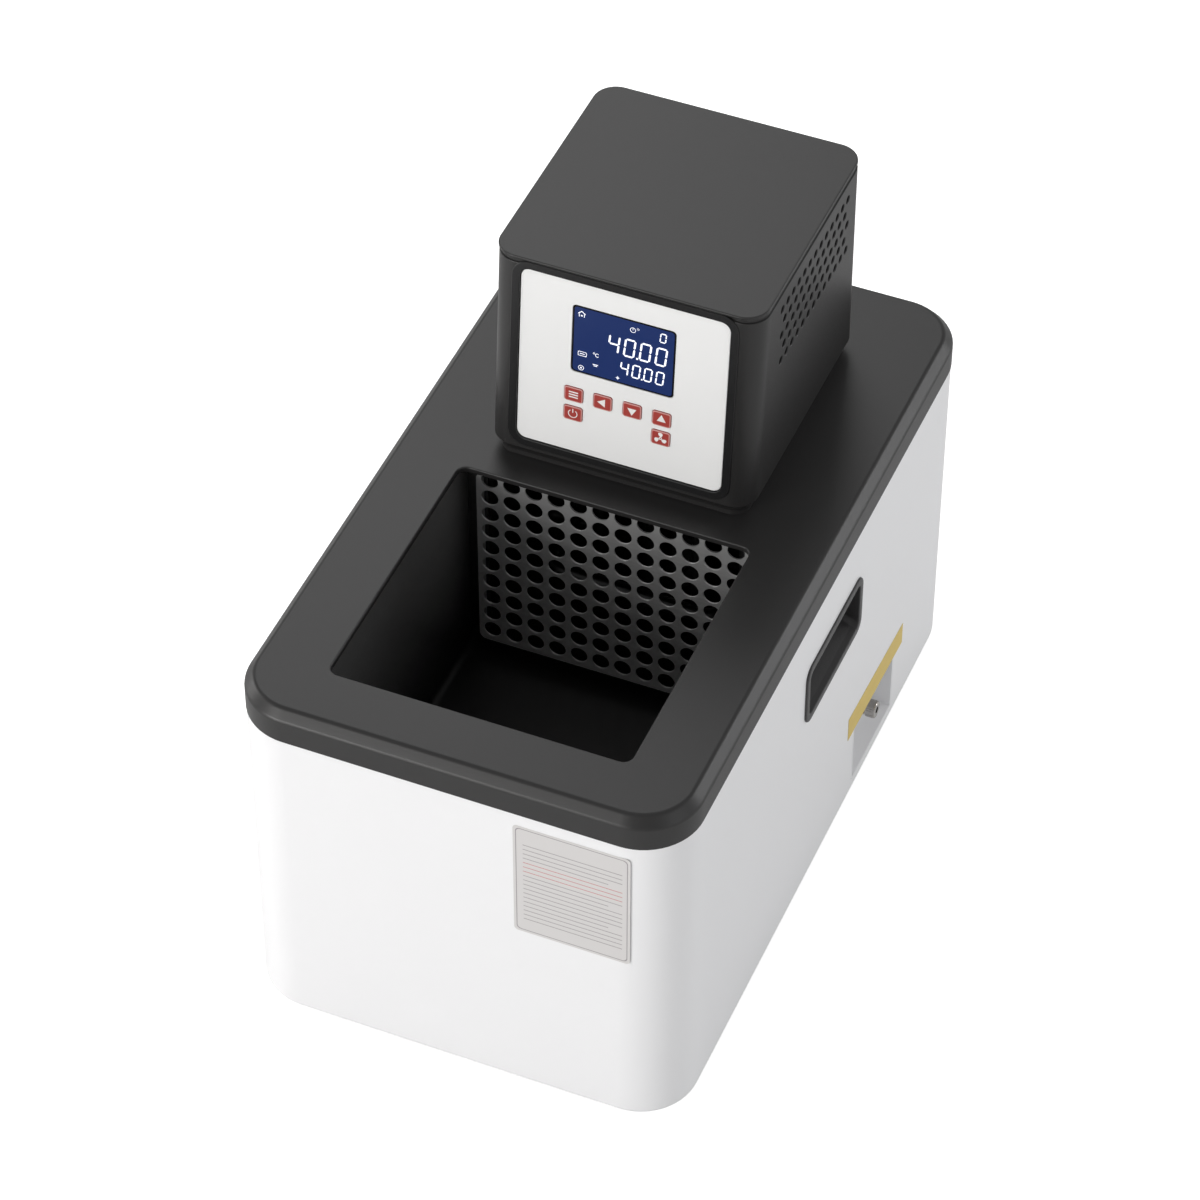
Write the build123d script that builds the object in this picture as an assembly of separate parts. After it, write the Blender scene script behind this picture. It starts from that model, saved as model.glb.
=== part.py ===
from build123d import *
import math
import os

os.makedirs("parts", exist_ok=True)

# Benchtop circulating oil bath. Millimetres, X to the right, Y to the back, Z up.
# The origin is on the table, under the middle of the rim.

# Overall outline
rim_width = 230.0
rim_depth = 392.0
rim_corner_radius = 30.0
body_height = 209.0
foot_height = 8.0
side_clearance = 0.3

# Moulded deck cover
rim_height = 19.0
rim_bevel = 5.0
rim_crease_radius = 1.6
deck_wall = 3.0
deck_lip_height = 6.0
deck_lip_wall = 2.2
mouth_side_margin = 38.5
mouth_front_margin = 33.6
mouth_corner_radius = 5.0
mouth_ahead_of_head = 25.7
mouth_edge_break = 0.8

# Painted sheet wrapper and base plate
wrap_overhang = 0.3
wrap_wall = 1.2
wrap_bottom_radius = 4.0
wrap_return = 12.0
base_plate_wall = 1.2
base_slot_length = 44.0
base_slot_width = 5.0
base_slot_pitch = 16.0
base_slot_rows = 7

# Feet and their screws
foot_radius = 11.0
foot_taper = 1.5
foot_inset = 34.0
foot_recess_radius = 5.0
foot_recess_depth = 4.5
foot_screw_radius = 2.0
foot_screw_head_radius = 3.8
foot_screw_head_height = 2.6
foot_nut_across = 7.0
foot_nut_height = 3.2
foot_screw_end = 1.0

# Stainless tank and its jacket
tank_reveal = 1.0
tank_front_reveal = 1.2
tank_back_from_head_back = 53.4
tank_floor_height = 89.0
tank_wall = 1.0
tank_corner_radius = 7.0
tank_floor_radius = 5.0
tank_flange = 10.0
tank_spigot_length = 9.0
jacket_side = 12.0
jacket_under = 20.0

# Perforated guard between the working space and the heater space
guard_left_gap = 7.3
guard_right_gap = 0.9
guard_behind_mouth = 1.6
guard_wall = 1.2
guard_return = 8.0
guard_bottom_gap = 10.5
guard_corner_radius = 4.0
guard_hole_radius = 4.45
guard_hole_pitch = 11.75
guard_hole_margin = 7.5
guard_hole_low = 8.2
guard_hole_sides = 8
rail_leg = 11.0
rail_wall = 1.2

# Carrying handles
handle_behind_mouth = 16.3
handle_below_deck = 70.2
handle_width = 77.0
handle_height = 37.4
handle_frame = 4.2
handle_proud = 1.2
handle_edge_break = 0.7
handle_cup_depth = 20.0
handle_wall = 1.8
handle_corner_radius = 4.5
handle_floor_reach = 15.0
handle_floor_rise = 5.7
handle_floor_back = 12.2
handle_pocket_rise = 1.6

# Drain recess, pipe and cock
drain_recess_from_head_back = 77.9
drain_recess_middle_height = 35.8
drain_recess_width = 59.0
drain_recess_height = 38.5
drain_recess_depth = 14.0
drain_recess_wall = 1.0
drain_recess_flange = 5.0
drain_recess_radius = 3.0
drain_from_head_back = 74.4
drain_height = 38.0
drain_from_tank_side = 19.5
drain_pipe_radius = 5.9
drain_pipe_bore = 4.9
drain_bend_radius = 14.0
cock_socket_radius = 8.5
cock_socket_length = 11.0
cock_socket_grip = 6.0
cock_shank_radius = 4.3
cock_collar_radius = 4.3
cock_sleeve_radius = 4.75
cock_sleeve_length = 5.4
cock_stub_radius = 2.9
cock_stub_length = 3.2
cock_bore = 1.9
cock_edge_break = 0.5

# Control head outline, heights measured from the deck
head_width = 138.0
head_back_margin = 42.6
head_height = 122.0
head_lean = 0.0857
head_depth = 136.5
head_corner_radius = 12.0
head_wall = 1.5
head_lid_wall = 1.6
head_lid_gap = 0.5
head_lid_pan_depth = 6.0
head_lid_front = 1.2
head_lid_edge = 0.5
neck_height = 8.0
neck_bevel_in = 3.6
neck_bevel_up = 5.0
neck_wall = 9.0
head_base_wall = 2.0
service_width = 106.0
service_front_from_head_back = 134.4
service_back_from_head_back = 56.4
service_radius = 4.0

# Ventilation holes in the sides of the head
vent_radius = 2.2
vent_sides = 6
vent_pitch = 7.3
vent_row_pitch = 8.0
vent_rows = 5
vent_columns = 13
vent_first_from_head_back = 110.0
vent_top_height = 107.9

# Control panel, positions measured on the leaning panel from its middle
panel_width = 107.2
panel_height = 101.4
panel_middle_height = 64.8
panel_wall = 2.0
panel_corner_radius = 5.0
panel_clearance = 0.3
window_reach = 6.0
bezel_frame = 4.5
bezel_tongue = 2.2
bezel_flange_wall = 0.6
bezel_proud = 1.0
bezel_ledge = 1.5
bezel_ledge_wall = 1.5
lcd_width = 53.3
lcd_height = 38.6
lcd_middle_x = 0.15
lcd_middle_up = 18.3
lcd_corner_radius = 2.2
lcd_glass_wall = 1.5
lcd_recess = 0.2
lcd_clearance = 0.15
lcd_module_margin = 3.0
lcd_module_depth = 8.0
key_width = 9.6
key_height = 8.8
key_corner_radius = 1.5
key_clearance = 0.25
key_proud = 0.5
key_travel = 0.6
key_flange = 0.5
key_flange_wall = 1.0
key_flange_gap = 0.3
key_stem_radius = 1.6
key_stem_length = 1.6
key_switch_gap = 0.1
key_switch_size = 6.0
key_columns = {"set": -24.4, "left": -9.3, "down": 6.0, "up": 21.3, "power": -24.4, "circulate": 21.3}
key_upper_row = -16.0
key_lower_row = -27.5
board_wall = 1.6
board_margin = 3.0
board_post_radius = 2.6
board_post_inset = 7.0

# Pump: motor in the head, impeller low in the tank
pump_x = 0.0
pump_from_head_back = 95.4
motor_radius = 31.0
motor_flat = 27.0
motor_height = 66.0
motor_band_height = 30.0
motor_band_step = 1.6
shaft_radius = 3.0
shaft_clearance = 0.05
shaft_fit = 0.02
shaft_above_motor = 17.0
fan_radius = 26.0
fan_hub_radius = 8.0
fan_hub_height = 10.0
fan_gap = 4.0
fan_blades = 7
fan_blade_wall = 1.0
fan_blade_pitch = 35.0
column_radius = 9.0
column_bore = 7.0
column_flange_radius = 17.0
column_flange_wall = 2.5
bush_height = 12.0
bush_lift = 2.0
volute_radius = 24.0
volute_bore = 19.0
volute_height = 17.0
volute_wall = 2.5
volute_floor_gap = 15.0
volute_eye_radius = 8.0
volute_shaft_gap = 1.5
volute_outlet_radius = 7.0
volute_outlet_bore = 5.1
volute_outlet_reach = 27.0
impeller_radius = 17.0
impeller_disc = 1.8
impeller_vane_height = 6.5
impeller_vane_wall = 1.4
impeller_vane_middle = (10.5, 3.2)
impeller_vane_tip = (16.2, -2.4)
impeller_vanes = 6
impeller_hub_radius = 5.5
impeller_gap = 1.5

# Heater, probe and circulation pipes
heater_radius = 4.0
heater_leg_x = 47.0
heater_back_from_head_back = 65.4
heater_front_from_head_back = 126.4
heater_rise_left_back = 31.5
heater_rise_left_front = 28.3
heater_rise_right_front = 25.2
heater_rise_right_back = 22.0
heater_floor_gap = 10.0
heater_bend_radius = 11.0
heater_terminal_height = 9.0
gland_across = 14.0
gland_height = 7.0
gland_clearance = 0.05
probe_radius = 2.5
probe_x = 31.0
probe_from_head_back = 117.4
probe_floor_gap = 32.0
probe_head_height = 12.0
probe_head_across = 11.0
pipe_radius = 5.0
pipe_bore = 4.0
pipe_bend_radius = 8.0
pipe_grip = 2.0
nipple_spacing = 70.0
nipple_height = 30.0
nipple_radius = 5.0
nipple_bore = 3.5
nipple_reach = 24.0
nipple_lead = 1.0
nipple_hex_across = 17.0
nipple_hex_height = 4.0
nipple_socket_radius = 7.2
nipple_socket_length = 12.0
nipple_socket_grip = 8.0
return_below_deck = 60.0

# Mains inlet and switch on the back of the head
inlet_x = -30.0
inlet_height = 88.0
inlet_flange_width = 50.0
inlet_flange_height = 25.0
inlet_flange_wall = 2.5
inlet_flange_radius = 3.0
inlet_body_width = 28.0
inlet_body_height = 20.0
inlet_body_depth = 24.0
inlet_well_width = 24.4
inlet_well_height = 16.4
inlet_well_depth = 18.0
inlet_well_corner = 4.5
inlet_pins = [(-7.0, -1.5), (7.0, -1.5), (0.0, 2.5)]
inlet_pin_width = 2.0
inlet_pin_height = 4.0
inlet_pin_length = 13.0
inlet_screw_spacing = 40.0
inlet_screw_radius = 1.5
inlet_screw_head = 2.9
inlet_screw_length = 8.0
switch_x = 30.0
switch_height = 88.0
switch_width = 21.0
switch_tall = 30.0
switch_flange_wall = 2.0
switch_flange_edge = 2.0
switch_flange_radius = 2.0
switch_body_depth = 20.0
rocker_width = 12.5
rocker_tall = 22.0
rocker_clearance = 0.6
rocker_tilt = 8.0
rocker_pivot_depth = 4.0
rocker_end = 3.0
rocker_crown = 5.2
rocker_keel = 4.0
rocker_keel_inset = 2.5
rocker_well_depth = 12.0
rocker_pin_radius = 1.5
rocker_pin_grip = 1.5
rocker_pin_clearance = 0.05

# Electronics on the head's base
supply_from_head_back = 33.4
transformer_width = 34.0
transformer_depth = 40.0
transformer_height = 36.0
transformer_core_depth = 22.0
transformer_winding_width = 22.0
transformer_foot_height = 5.0
sink_fins = 8
sink_fin_wall = 1.4
sink_fin_pitch = 5.4
sink_fin_reach = 9.0
sink_wall_gap = 1.2
sink_length = 40.0
sink_height = 34.0
sink_base = 3.0
relay_depth = 11.0
relay_length = 36.0
relay_height = 26.0
control_board_gap = 5.0
control_board_length = 50.0
control_board_height = 44.0
control_part_depth = 10.0
control_parts = [(-18.0, 30.0, 9.0), (-4.0, 30.0, 9.0), (12.0, 26.0, 14.0), (-12.0, 12.0, 12.0)]

# Levels and outlines worked out from the sizes above
deck_top = foot_height + body_height
skirt_bottom = deck_top - rim_height
wrap_width = rim_width - 2 * wrap_overhang
wrap_depth = rim_depth - 2 * wrap_overhang
wrap_radius = rim_corner_radius - wrap_overhang
wrap_side_x = wrap_width / 2
base_plate_bottom = foot_height + wrap_wall
base_plate_top = base_plate_bottom + base_plate_wall
head_back_y = rim_depth / 2 - head_back_margin
head_panel_top_y = head_back_y - head_depth
mouth_width = rim_width - 2 * mouth_side_margin
mouth_front_y = mouth_front_margin - rim_depth / 2
mouth_back_y = head_panel_top_y - mouth_ahead_of_head
mouth_depth = mouth_back_y - mouth_front_y
tank_width = mouth_width + 2 * tank_reveal
tank_front_y = mouth_front_y - tank_front_reveal
tank_back_y = head_back_y - tank_back_from_head_back
tank_middle_y = (tank_front_y + tank_back_y) / 2
tank_length = tank_back_y - tank_front_y
tank_top = deck_top - deck_wall
tank_floor_top = tank_floor_height
guard_left_x = guard_left_gap - mouth_width / 2
guard_right_x = mouth_width / 2 - guard_right_gap
guard_front_y = mouth_back_y + guard_behind_mouth
handle_y = mouth_back_y + handle_behind_mouth
mouth_middle_y = mouth_back_y - mouth_depth / 2
head_bottom = deck_top + neck_height
head_top = deck_top + head_height
shell_top = head_top - head_lid_wall - head_lid_gap
base_top = head_bottom + head_base_wall
service_front_y = head_back_y - service_front_from_head_back
service_back_y = head_back_y - service_back_from_head_back
vent_first_y = head_back_y - vent_first_from_head_back
drain_x = tank_width / 2 - drain_from_tank_side
drain_y = head_back_y - drain_from_head_back
drain_z = drain_height
drain_recess_y = head_back_y - drain_recess_from_head_back
drain_recess_z = drain_recess_middle_height
pump_y = head_back_y - pump_from_head_back
volute_bottom = tank_floor_top + volute_floor_gap
heater_back_y = head_back_y - heater_back_from_head_back
heater_front_y = head_back_y - heater_front_from_head_back
probe_y = head_back_y - probe_from_head_back
supply_y = head_back_y - supply_from_head_back
pipe_x = nipple_spacing / 2
outlet_y = pump_y + volute_bore - volute_outlet_bore
outlet_z = volute_bottom + volute_height / 2
foot_places = GridLocations(rim_width - 2 * foot_inset, rim_depth - 2 * foot_inset, 2, 2)

# The leaning plane of the panel's face; its local x runs right and its local y runs up the lean
lean_length = math.hypot(1.0, head_lean)
lean_back = head_lean / lean_length
lean_up = 1.0 / lean_length
panel_middle_y = head_panel_top_y - head_lean * (head_height - panel_middle_height)
panel_plane = Plane(
    origin=(0, panel_middle_y, deck_top + panel_middle_height),
    x_dir=(1, 0, 0),
    z_dir=(0, -lean_up, lean_back),
)


def save(node, shape):
    export_step(shape, f"parts/{node}.step")


def block(width, depth, height, radius=0.0, x=0.0, y=0.0, bottom=0.0):
    outline = RectangleRounded(width, depth, radius) if radius > 0 else Rectangle(width, depth)
    return Pos(x, y, bottom) * extrude(outline, height)


def rod(radius, height, x=0.0, y=0.0, bottom=0.0):
    return Pos(x, y, bottom) * extrude(Circle(radius), height)


def tube(radius, bore, height, x=0.0, y=0.0, bottom=0.0):
    return Pos(x, y, bottom) * extrude(Circle(radius) - Circle(bore), height)


def bolt_head(across, height, x=0.0, y=0.0, bottom=0.0):
    return Pos(x, y, bottom) * extrude(RegularPolygon(across / math.sqrt(3), 6), height)


def side_plane(x, y, z):
    # Outward face of the right side: local x runs to the back, local y runs up
    return Plane(origin=(x, y, z), x_dir=(0, 1, 0), z_dir=(1, 0, 0))


def back_plane(x, z):
    # Outward face of the head's back: local x runs to the left seen from the front, local y runs up
    return Plane(origin=(x, head_back_y, z), x_dir=(-1, 0, 0), z_dir=(0, 1, 0))


def on_panel(sketch, u, v, outer, inner):
    # Prism on the leaning panel between two distances outward from its face
    placed = panel_plane * Pos(u, v, inner) * sketch
    return extrude(placed, outer - inner, dir=tuple(panel_plane.z_dir))


def pipe_along(points, bend, radius, bore=0.0):
    path = FilletPolyline(*points, radius=bend)
    start = Plane(origin=path @ 0, z_dir=path % 0)
    section = Circle(radius) - Circle(bore) if bore > 0 else Circle(radius)
    return sweep(start * section, path=path)


def head_front_y(height, proud=0.0):
    # Front of the head at a height above the deck, standing proud of the panel's face
    return head_panel_top_y - head_lean * (head_height - height) - proud * lean_length


def head_outline(height, inset, proud, radius):
    front = head_front_y(height, proud) + inset
    back = head_back_y - inset
    sketch = RectangleRounded(head_width - 2 * inset, back - front, radius)
    return Pos(0, (front + back) / 2, deck_top + height) * sketch


def head_block(low, high, inset, proud):
    radius = head_corner_radius - inset
    outlines = [head_outline(height, inset, proud, radius) for height in (low, high)]
    return loft(outlines, ruled=True)


# Deck cover


def make_deck_cover():
    cover = block(rim_width, rim_depth, rim_height, rim_corner_radius, bottom=skirt_bottom)
    cover = chamfer(cover.faces().sort_by(Axis.Z)[-1].edges(), rim_bevel)
    creases = cover.faces().sort_by(Axis.Z)[-1].edges()
    cover = fillet(creases, rim_crease_radius)
    hollow_width = rim_width - 2 * deck_wall
    hollow_depth = rim_depth - 2 * deck_wall
    hollow_radius = rim_corner_radius - deck_wall
    roof = deck_top - deck_wall
    hollow_height = roof - rim_bevel - skirt_bottom
    cover -= block(hollow_width, hollow_depth, hollow_height, hollow_radius, bottom=skirt_bottom)
    step = rim_bevel - deck_wall / 2
    cover -= block(
        hollow_width - 2 * step,
        hollow_depth - 2 * step,
        roof - skirt_bottom,
        hollow_radius - step,
        bottom=skirt_bottom,
    )
    lip_inset = wrap_overhang + wrap_wall + side_clearance
    lip_width = rim_width - 2 * lip_inset
    lip_depth = rim_depth - 2 * lip_inset
    lip_radius = rim_corner_radius - lip_inset
    lip_bottom = skirt_bottom - deck_lip_height
    lip_height = deck_lip_height + deck_wall
    lip = block(lip_width, lip_depth, lip_height, lip_radius, bottom=lip_bottom)
    lip -= block(
        lip_width - 2 * deck_lip_wall,
        lip_depth - 2 * deck_lip_wall,
        lip_height,
        lip_radius - deck_lip_wall,
        bottom=lip_bottom,
    )
    cover += lip
    cut_bottom = roof - deck_wall
    cover -= block(
        mouth_width, mouth_depth, 2 * deck_wall, mouth_corner_radius, y=mouth_middle_y, bottom=cut_bottom
    )
    service_middle = (service_front_y + service_back_y) / 2
    service_depth = service_back_y - service_front_y
    cover -= block(
        service_width, service_depth, 2 * deck_wall, service_radius, y=service_middle, bottom=cut_bottom
    )
    rim_edges = cover.edges().filter_by(
        lambda edge: abs(edge.center().Z - deck_top) < 0.01
        and abs(edge.center().X) < mouth_width / 2 + 0.1
        and mouth_front_y - 0.1 < edge.center().Y < mouth_back_y + 0.1
    )
    cover = chamfer(rim_edges, mouth_edge_break)
    save("deck_cover", cover)


# Painted wrapper, base plate and feet


def handle_cutout(side):
    width = handle_width - 2 * handle_frame + 2 * handle_wall + 2 * side_clearance
    height = handle_height - 2 * handle_frame + 2 * handle_wall + handle_pocket_rise + 2 * side_clearance
    middle = deck_top - handle_below_deck + handle_pocket_rise / 2
    return Pos(side * wrap_side_x, handle_y, middle) * Box(8 * wrap_wall, width, height)


def make_body_shell():
    shell = block(wrap_width, wrap_depth, skirt_bottom - foot_height, wrap_radius, bottom=foot_height)
    shell = fillet(shell.faces().sort_by(Axis.Z)[0].edges(), wrap_bottom_radius)
    inside = block(
        wrap_width - 2 * wrap_wall,
        wrap_depth - 2 * wrap_wall,
        skirt_bottom - base_plate_bottom,
        wrap_radius - wrap_wall,
        bottom=base_plate_bottom,
    )
    inside = fillet(inside.faces().sort_by(Axis.Z)[0].edges(), wrap_bottom_radius - wrap_wall)
    shell -= inside
    shell -= block(
        wrap_width - 2 * wrap_return,
        wrap_depth - 2 * wrap_return,
        2 * wrap_wall,
        wrap_radius - wrap_return,
        bottom=foot_height,
    )
    shell -= handle_cutout(1)
    shell -= handle_cutout(-1)
    opening = RectangleRounded(drain_recess_width, drain_recess_height, drain_recess_radius)
    recess_face = side_plane(wrap_side_x - 2 * wrap_wall, drain_recess_y, drain_recess_z)
    shell -= extrude(recess_face * opening, 4 * wrap_wall)
    save("body_shell", shell)


def make_base_plate():
    inset = wrap_wall + wrap_bottom_radius
    plate = block(
        wrap_width - 2 * inset,
        wrap_depth - 2 * inset,
        base_plate_wall,
        wrap_radius - inset,
        bottom=base_plate_bottom,
    )
    slot = Rectangle(base_slot_length, base_slot_width)
    for place in GridLocations(2 * base_slot_length, base_slot_pitch, 2, base_slot_rows):
        plate -= Pos(0, 0, base_plate_bottom) * place * extrude(slot, base_plate_wall)
    screw_hole = rod(foot_screw_radius + side_clearance, base_plate_wall, bottom=base_plate_bottom)
    for place in foot_places:
        plate -= place * screw_hole
    save("base_plate", plate)


def make_feet():
    profile = Polyline(
        (foot_screw_radius + side_clearance, foot_recess_depth),
        (foot_recess_radius, foot_recess_depth),
        (foot_recess_radius, 0),
        (foot_radius - foot_taper, 0),
        (foot_radius, foot_taper),
        (foot_radius, base_plate_bottom),
        (foot_screw_radius + side_clearance, base_plate_bottom),
        close=True,
    )
    foot = revolve(Plane.XZ * make_face(profile), Axis.Z)
    save("rubber_feet", Compound(children=[place * foot for place in foot_places]))
    head_bottom_z = foot_recess_depth - foot_screw_head_height
    screw = rod(foot_screw_head_radius, foot_screw_head_height, bottom=head_bottom_z)
    screw_top = base_plate_top + foot_nut_height + foot_screw_end
    screw += rod(foot_screw_radius, screw_top - foot_recess_depth, bottom=foot_recess_depth)
    save("foot_screws", Compound(children=[place * screw for place in foot_places]))
    nut = bolt_head(foot_nut_across, foot_nut_height, bottom=base_plate_top)
    nut -= rod(foot_screw_radius + shaft_clearance, foot_nut_height, bottom=base_plate_top)
    save("foot_nuts", Compound(children=[place * nut for place in foot_places]))


# Tank, jacket, guard and rails


def tank_block(grow, bottom, top, bottom_radius):
    width = tank_width + 2 * grow
    length = tank_length + 2 * grow
    solid = block(width, length, top - bottom, tank_corner_radius + grow, y=tank_middle_y, bottom=bottom)
    return fillet(solid.faces().sort_by(Axis.Z)[0].edges(), bottom_radius)


def make_tank():
    floor_bottom = tank_floor_top - tank_wall
    tank = tank_block(tank_wall, floor_bottom, tank_top, tank_floor_radius + tank_wall)
    flange_width = tank_width + 2 * tank_wall + 2 * tank_flange
    flange_length = tank_length + 2 * tank_wall + 2 * tank_flange
    flange_bottom = tank_top - tank_wall
    tank += block(flange_width, flange_length, tank_wall, tank_flange, y=tank_middle_y, bottom=flange_bottom)
    spigot_radius = drain_pipe_radius + shaft_clearance + tank_wall
    tank += rod(spigot_radius, tank_spigot_length, drain_x, drain_y, floor_bottom - tank_spigot_length)
    tank -= tank_block(0, tank_floor_top, tank_top, tank_floor_radius)
    bore = drain_pipe_radius + shaft_clearance
    tank -= rod(bore, tank_spigot_length + 2 * tank_wall, drain_x, drain_y, floor_bottom - tank_spigot_length)
    save("bath_tank", tank)

    jacket_bottom = floor_bottom - jacket_under
    jacket_top = tank_top - tank_wall
    jacket = tank_block(tank_wall + jacket_side, jacket_bottom, jacket_top, tank_floor_radius)
    jacket -= tank_block(tank_wall, floor_bottom, jacket_top, tank_floor_radius + tank_wall)
    jacket -= rod(spigot_radius + side_clearance, jacket_under, drain_x, drain_y, jacket_bottom)
    save("tank_insulation", jacket)


def make_guard():
    bottom = tank_floor_top + guard_bottom_gap
    top = tank_top - side_clearance
    width = guard_right_x - guard_left_x
    middle_x = (guard_left_x + guard_right_x) / 2
    tall = top - bottom
    middle_z = (bottom + top) / 2
    face_plane = Plane(origin=(middle_x, guard_front_y, middle_z), x_dir=(1, 0, 0), z_dir=(0, -1, 0))
    outline = Rectangle(width, tall)
    outline = fillet(outline.vertices().group_by(Axis.Y)[0], guard_corner_radius)
    hole = RegularPolygon(guard_hole_radius, guard_hole_sides)
    first_x = -width / 2 + guard_hole_margin
    first_z = -tall / 2 + guard_hole_low
    columns = int((width - 2 * guard_hole_margin) / guard_hole_pitch) + 1
    rows = int((tall - guard_hole_low - guard_hole_radius) / guard_hole_pitch) + 1
    holes = [
        Pos(first_x + column * guard_hole_pitch, first_z + row * guard_hole_pitch) * hole
        for column in range(columns)
        for row in range(rows)
    ]
    outline -= holes
    plate = extrude(face_plane * outline, -guard_wall)
    return_tall = tall - 2 * guard_corner_radius
    for edge_x in (guard_left_x + guard_wall / 2, guard_right_x - guard_wall / 2):
        middle_y = guard_front_y + (guard_wall + guard_return) / 2
        plate += Pos(edge_x, middle_y, middle_z) * Box(guard_wall, guard_return - guard_wall, return_tall)
    save("guard_plate", plate)

    rail_bottom = bottom
    rail_tall = top - rail_bottom
    rail_y = guard_front_y + guard_return + side_clearance
    for name, side in (("guard_rail_left", -1), ("guard_rail_right", 1)):
        wall_x = side * tank_width / 2
        rail = Pos(wall_x - side * rail_wall / 2, rail_y + rail_leg / 2, 0) * Rectangle(rail_wall, rail_leg)
        rail += Pos(wall_x - side * rail_leg / 2, rail_y + rail_wall / 2, 0) * Rectangle(rail_leg, rail_wall)
        save(name, Pos(0, 0, rail_bottom) * extrude(rail, rail_tall))


# Handles and drain


def make_handle(node, side):
    middle_z = deck_top - handle_below_deck
    frame_plane = side_plane(wrap_side_x, handle_y, middle_z)
    opening_width = handle_width - 2 * handle_frame
    opening_height = handle_height - 2 * handle_frame
    frame_outline = RectangleRounded(handle_width, handle_height, handle_corner_radius)
    frame = extrude(frame_plane * frame_outline, handle_proud)
    frame = chamfer(frame.faces().sort_by(Axis.X)[-1].edges(), handle_edge_break)
    cup_height = opening_height + 2 * handle_wall + handle_pocket_rise
    cup_depth = handle_cup_depth + handle_wall
    cup = Pos(wrap_side_x - cup_depth / 2, handle_y, middle_z + handle_pocket_rise / 2) * Box(
        cup_depth, opening_width + 2 * handle_wall, cup_height
    )
    low = -opening_height / 2
    high = opening_height / 2
    deep = handle_cup_depth
    profile = Polyline(
        (handle_proud + 1, low),
        (handle_proud, low),
        (-handle_floor_reach, low + handle_floor_rise),
        (-deep, low + handle_floor_back),
        (-deep, high + handle_pocket_rise),
        (-handle_wall, high + handle_pocket_rise),
        (-handle_wall, high),
        (handle_proud + 1, high),
        close=True,
    )
    cut_origin = (wrap_side_x, handle_y + opening_width / 2, middle_z)
    cut_plane = Plane(origin=cut_origin, x_dir=(1, 0, 0), z_dir=(0, -1, 0))
    cup = frame + cup
    cup -= extrude(cut_plane * make_face(profile), opening_width)
    save(node, cup if side > 0 else mirror(cup, Plane.YZ))


def make_drain():
    face = side_plane(wrap_side_x, drain_recess_y, drain_recess_z)
    inner_width = drain_recess_width - 2 * side_clearance - 2 * drain_recess_wall
    inner_height = drain_recess_height - 2 * side_clearance - 2 * drain_recess_wall
    inner_radius = drain_recess_radius - drain_recess_wall
    outer = RectangleRounded(
        inner_width + 2 * drain_recess_wall, inner_height + 2 * drain_recess_wall, drain_recess_radius
    )
    tray = extrude(face * outer, -drain_recess_depth - drain_recess_wall)
    flange_width = drain_recess_width + 2 * drain_recess_flange
    flange = RectangleRounded(flange_width, drain_recess_height, drain_recess_radius)
    flange_plane = side_plane(wrap_side_x - wrap_wall, drain_recess_y, drain_recess_z)
    tray += extrude(flange_plane * flange, -drain_recess_wall)
    tray -= extrude(face * RectangleRounded(inner_width, inner_height, inner_radius), -drain_recess_depth)
    back_x = wrap_side_x - drain_recess_depth
    hole = side_plane(back_x, drain_y, drain_z) * Circle(cock_shank_radius + side_clearance)
    tray -= extrude(hole, -2 * drain_recess_wall)
    save("drain_recess", tray)

    wall_inside_x = back_x - drain_recess_wall
    socket_start = wall_inside_x - cock_socket_length
    sleeve_end = wrap_side_x + handle_proud
    sleeve_start = sleeve_end - cock_sleeve_length
    collar_end = sleeve_start - side_clearance

    def turned(radius, start, end):
        return extrude(side_plane(start, drain_y, drain_z) * Circle(radius), end - start)

    cock = turned(cock_socket_radius, socket_start, wall_inside_x)
    cock += turned(cock_shank_radius, wall_inside_x, back_x)
    collar = turned(cock_collar_radius, back_x, collar_end)
    collar = chamfer(collar.faces().sort_by(Axis.X)[-1].edges(), cock_edge_break)
    cock += collar
    cock += turned(cock_stub_radius, collar_end, collar_end + cock_stub_length)
    cock -= turned(drain_pipe_radius + shaft_clearance, socket_start, socket_start + cock_socket_grip)
    cock -= turned(cock_bore, socket_start, collar_end + cock_stub_length)
    save("drain_cock", cock)

    sleeve = turned(cock_sleeve_radius, sleeve_start, sleeve_end)
    sleeve = chamfer(sleeve.faces().sort_by(Axis.X)[-1].edges(), cock_edge_break)
    sleeve = chamfer(sleeve.faces().sort_by(Axis.X)[0].edges(), cock_edge_break)
    stub_end = collar_end + cock_stub_length + side_clearance
    sleeve -= turned(cock_stub_radius + shaft_clearance, sleeve_start, stub_end)
    sleeve -= turned(cock_bore, sleeve_start, sleeve_end)
    save("drain_sleeve", sleeve)

    pipe_top = tank_floor_top - tank_wall
    pipe_end_x = socket_start + cock_socket_grip
    points = [(drain_x, drain_y, pipe_top), (drain_x, drain_y, drain_z), (pipe_end_x, drain_y, drain_z)]
    save("drain_pipe", pipe_along(points, drain_bend_radius, drain_pipe_radius, drain_pipe_bore))


# Control head housing


def make_head_neck():
    low_radius = head_corner_radius - neck_bevel_in
    straight = neck_height - neck_bevel_up
    face_proud = bezel_proud - bezel_flange_wall
    low = head_outline(0, neck_bevel_in, face_proud, low_radius)
    neck = extrude(low, straight)
    foot_of_bevel = Pos(0, 0, straight) * low
    neck += loft([foot_of_bevel, head_outline(neck_height, 0, face_proud, head_corner_radius)], ruled=True)
    front = head_front_y(0, face_proud) + neck_bevel_in + neck_wall
    back = head_back_y - neck_bevel_in - neck_wall
    inner_width = head_width - 2 * neck_bevel_in - 2 * neck_wall
    middle_y = (front + back) / 2
    neck -= block(inner_width, back - front, neck_height, service_radius, y=middle_y, bottom=deck_top)
    save("head_neck", neck)


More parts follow.
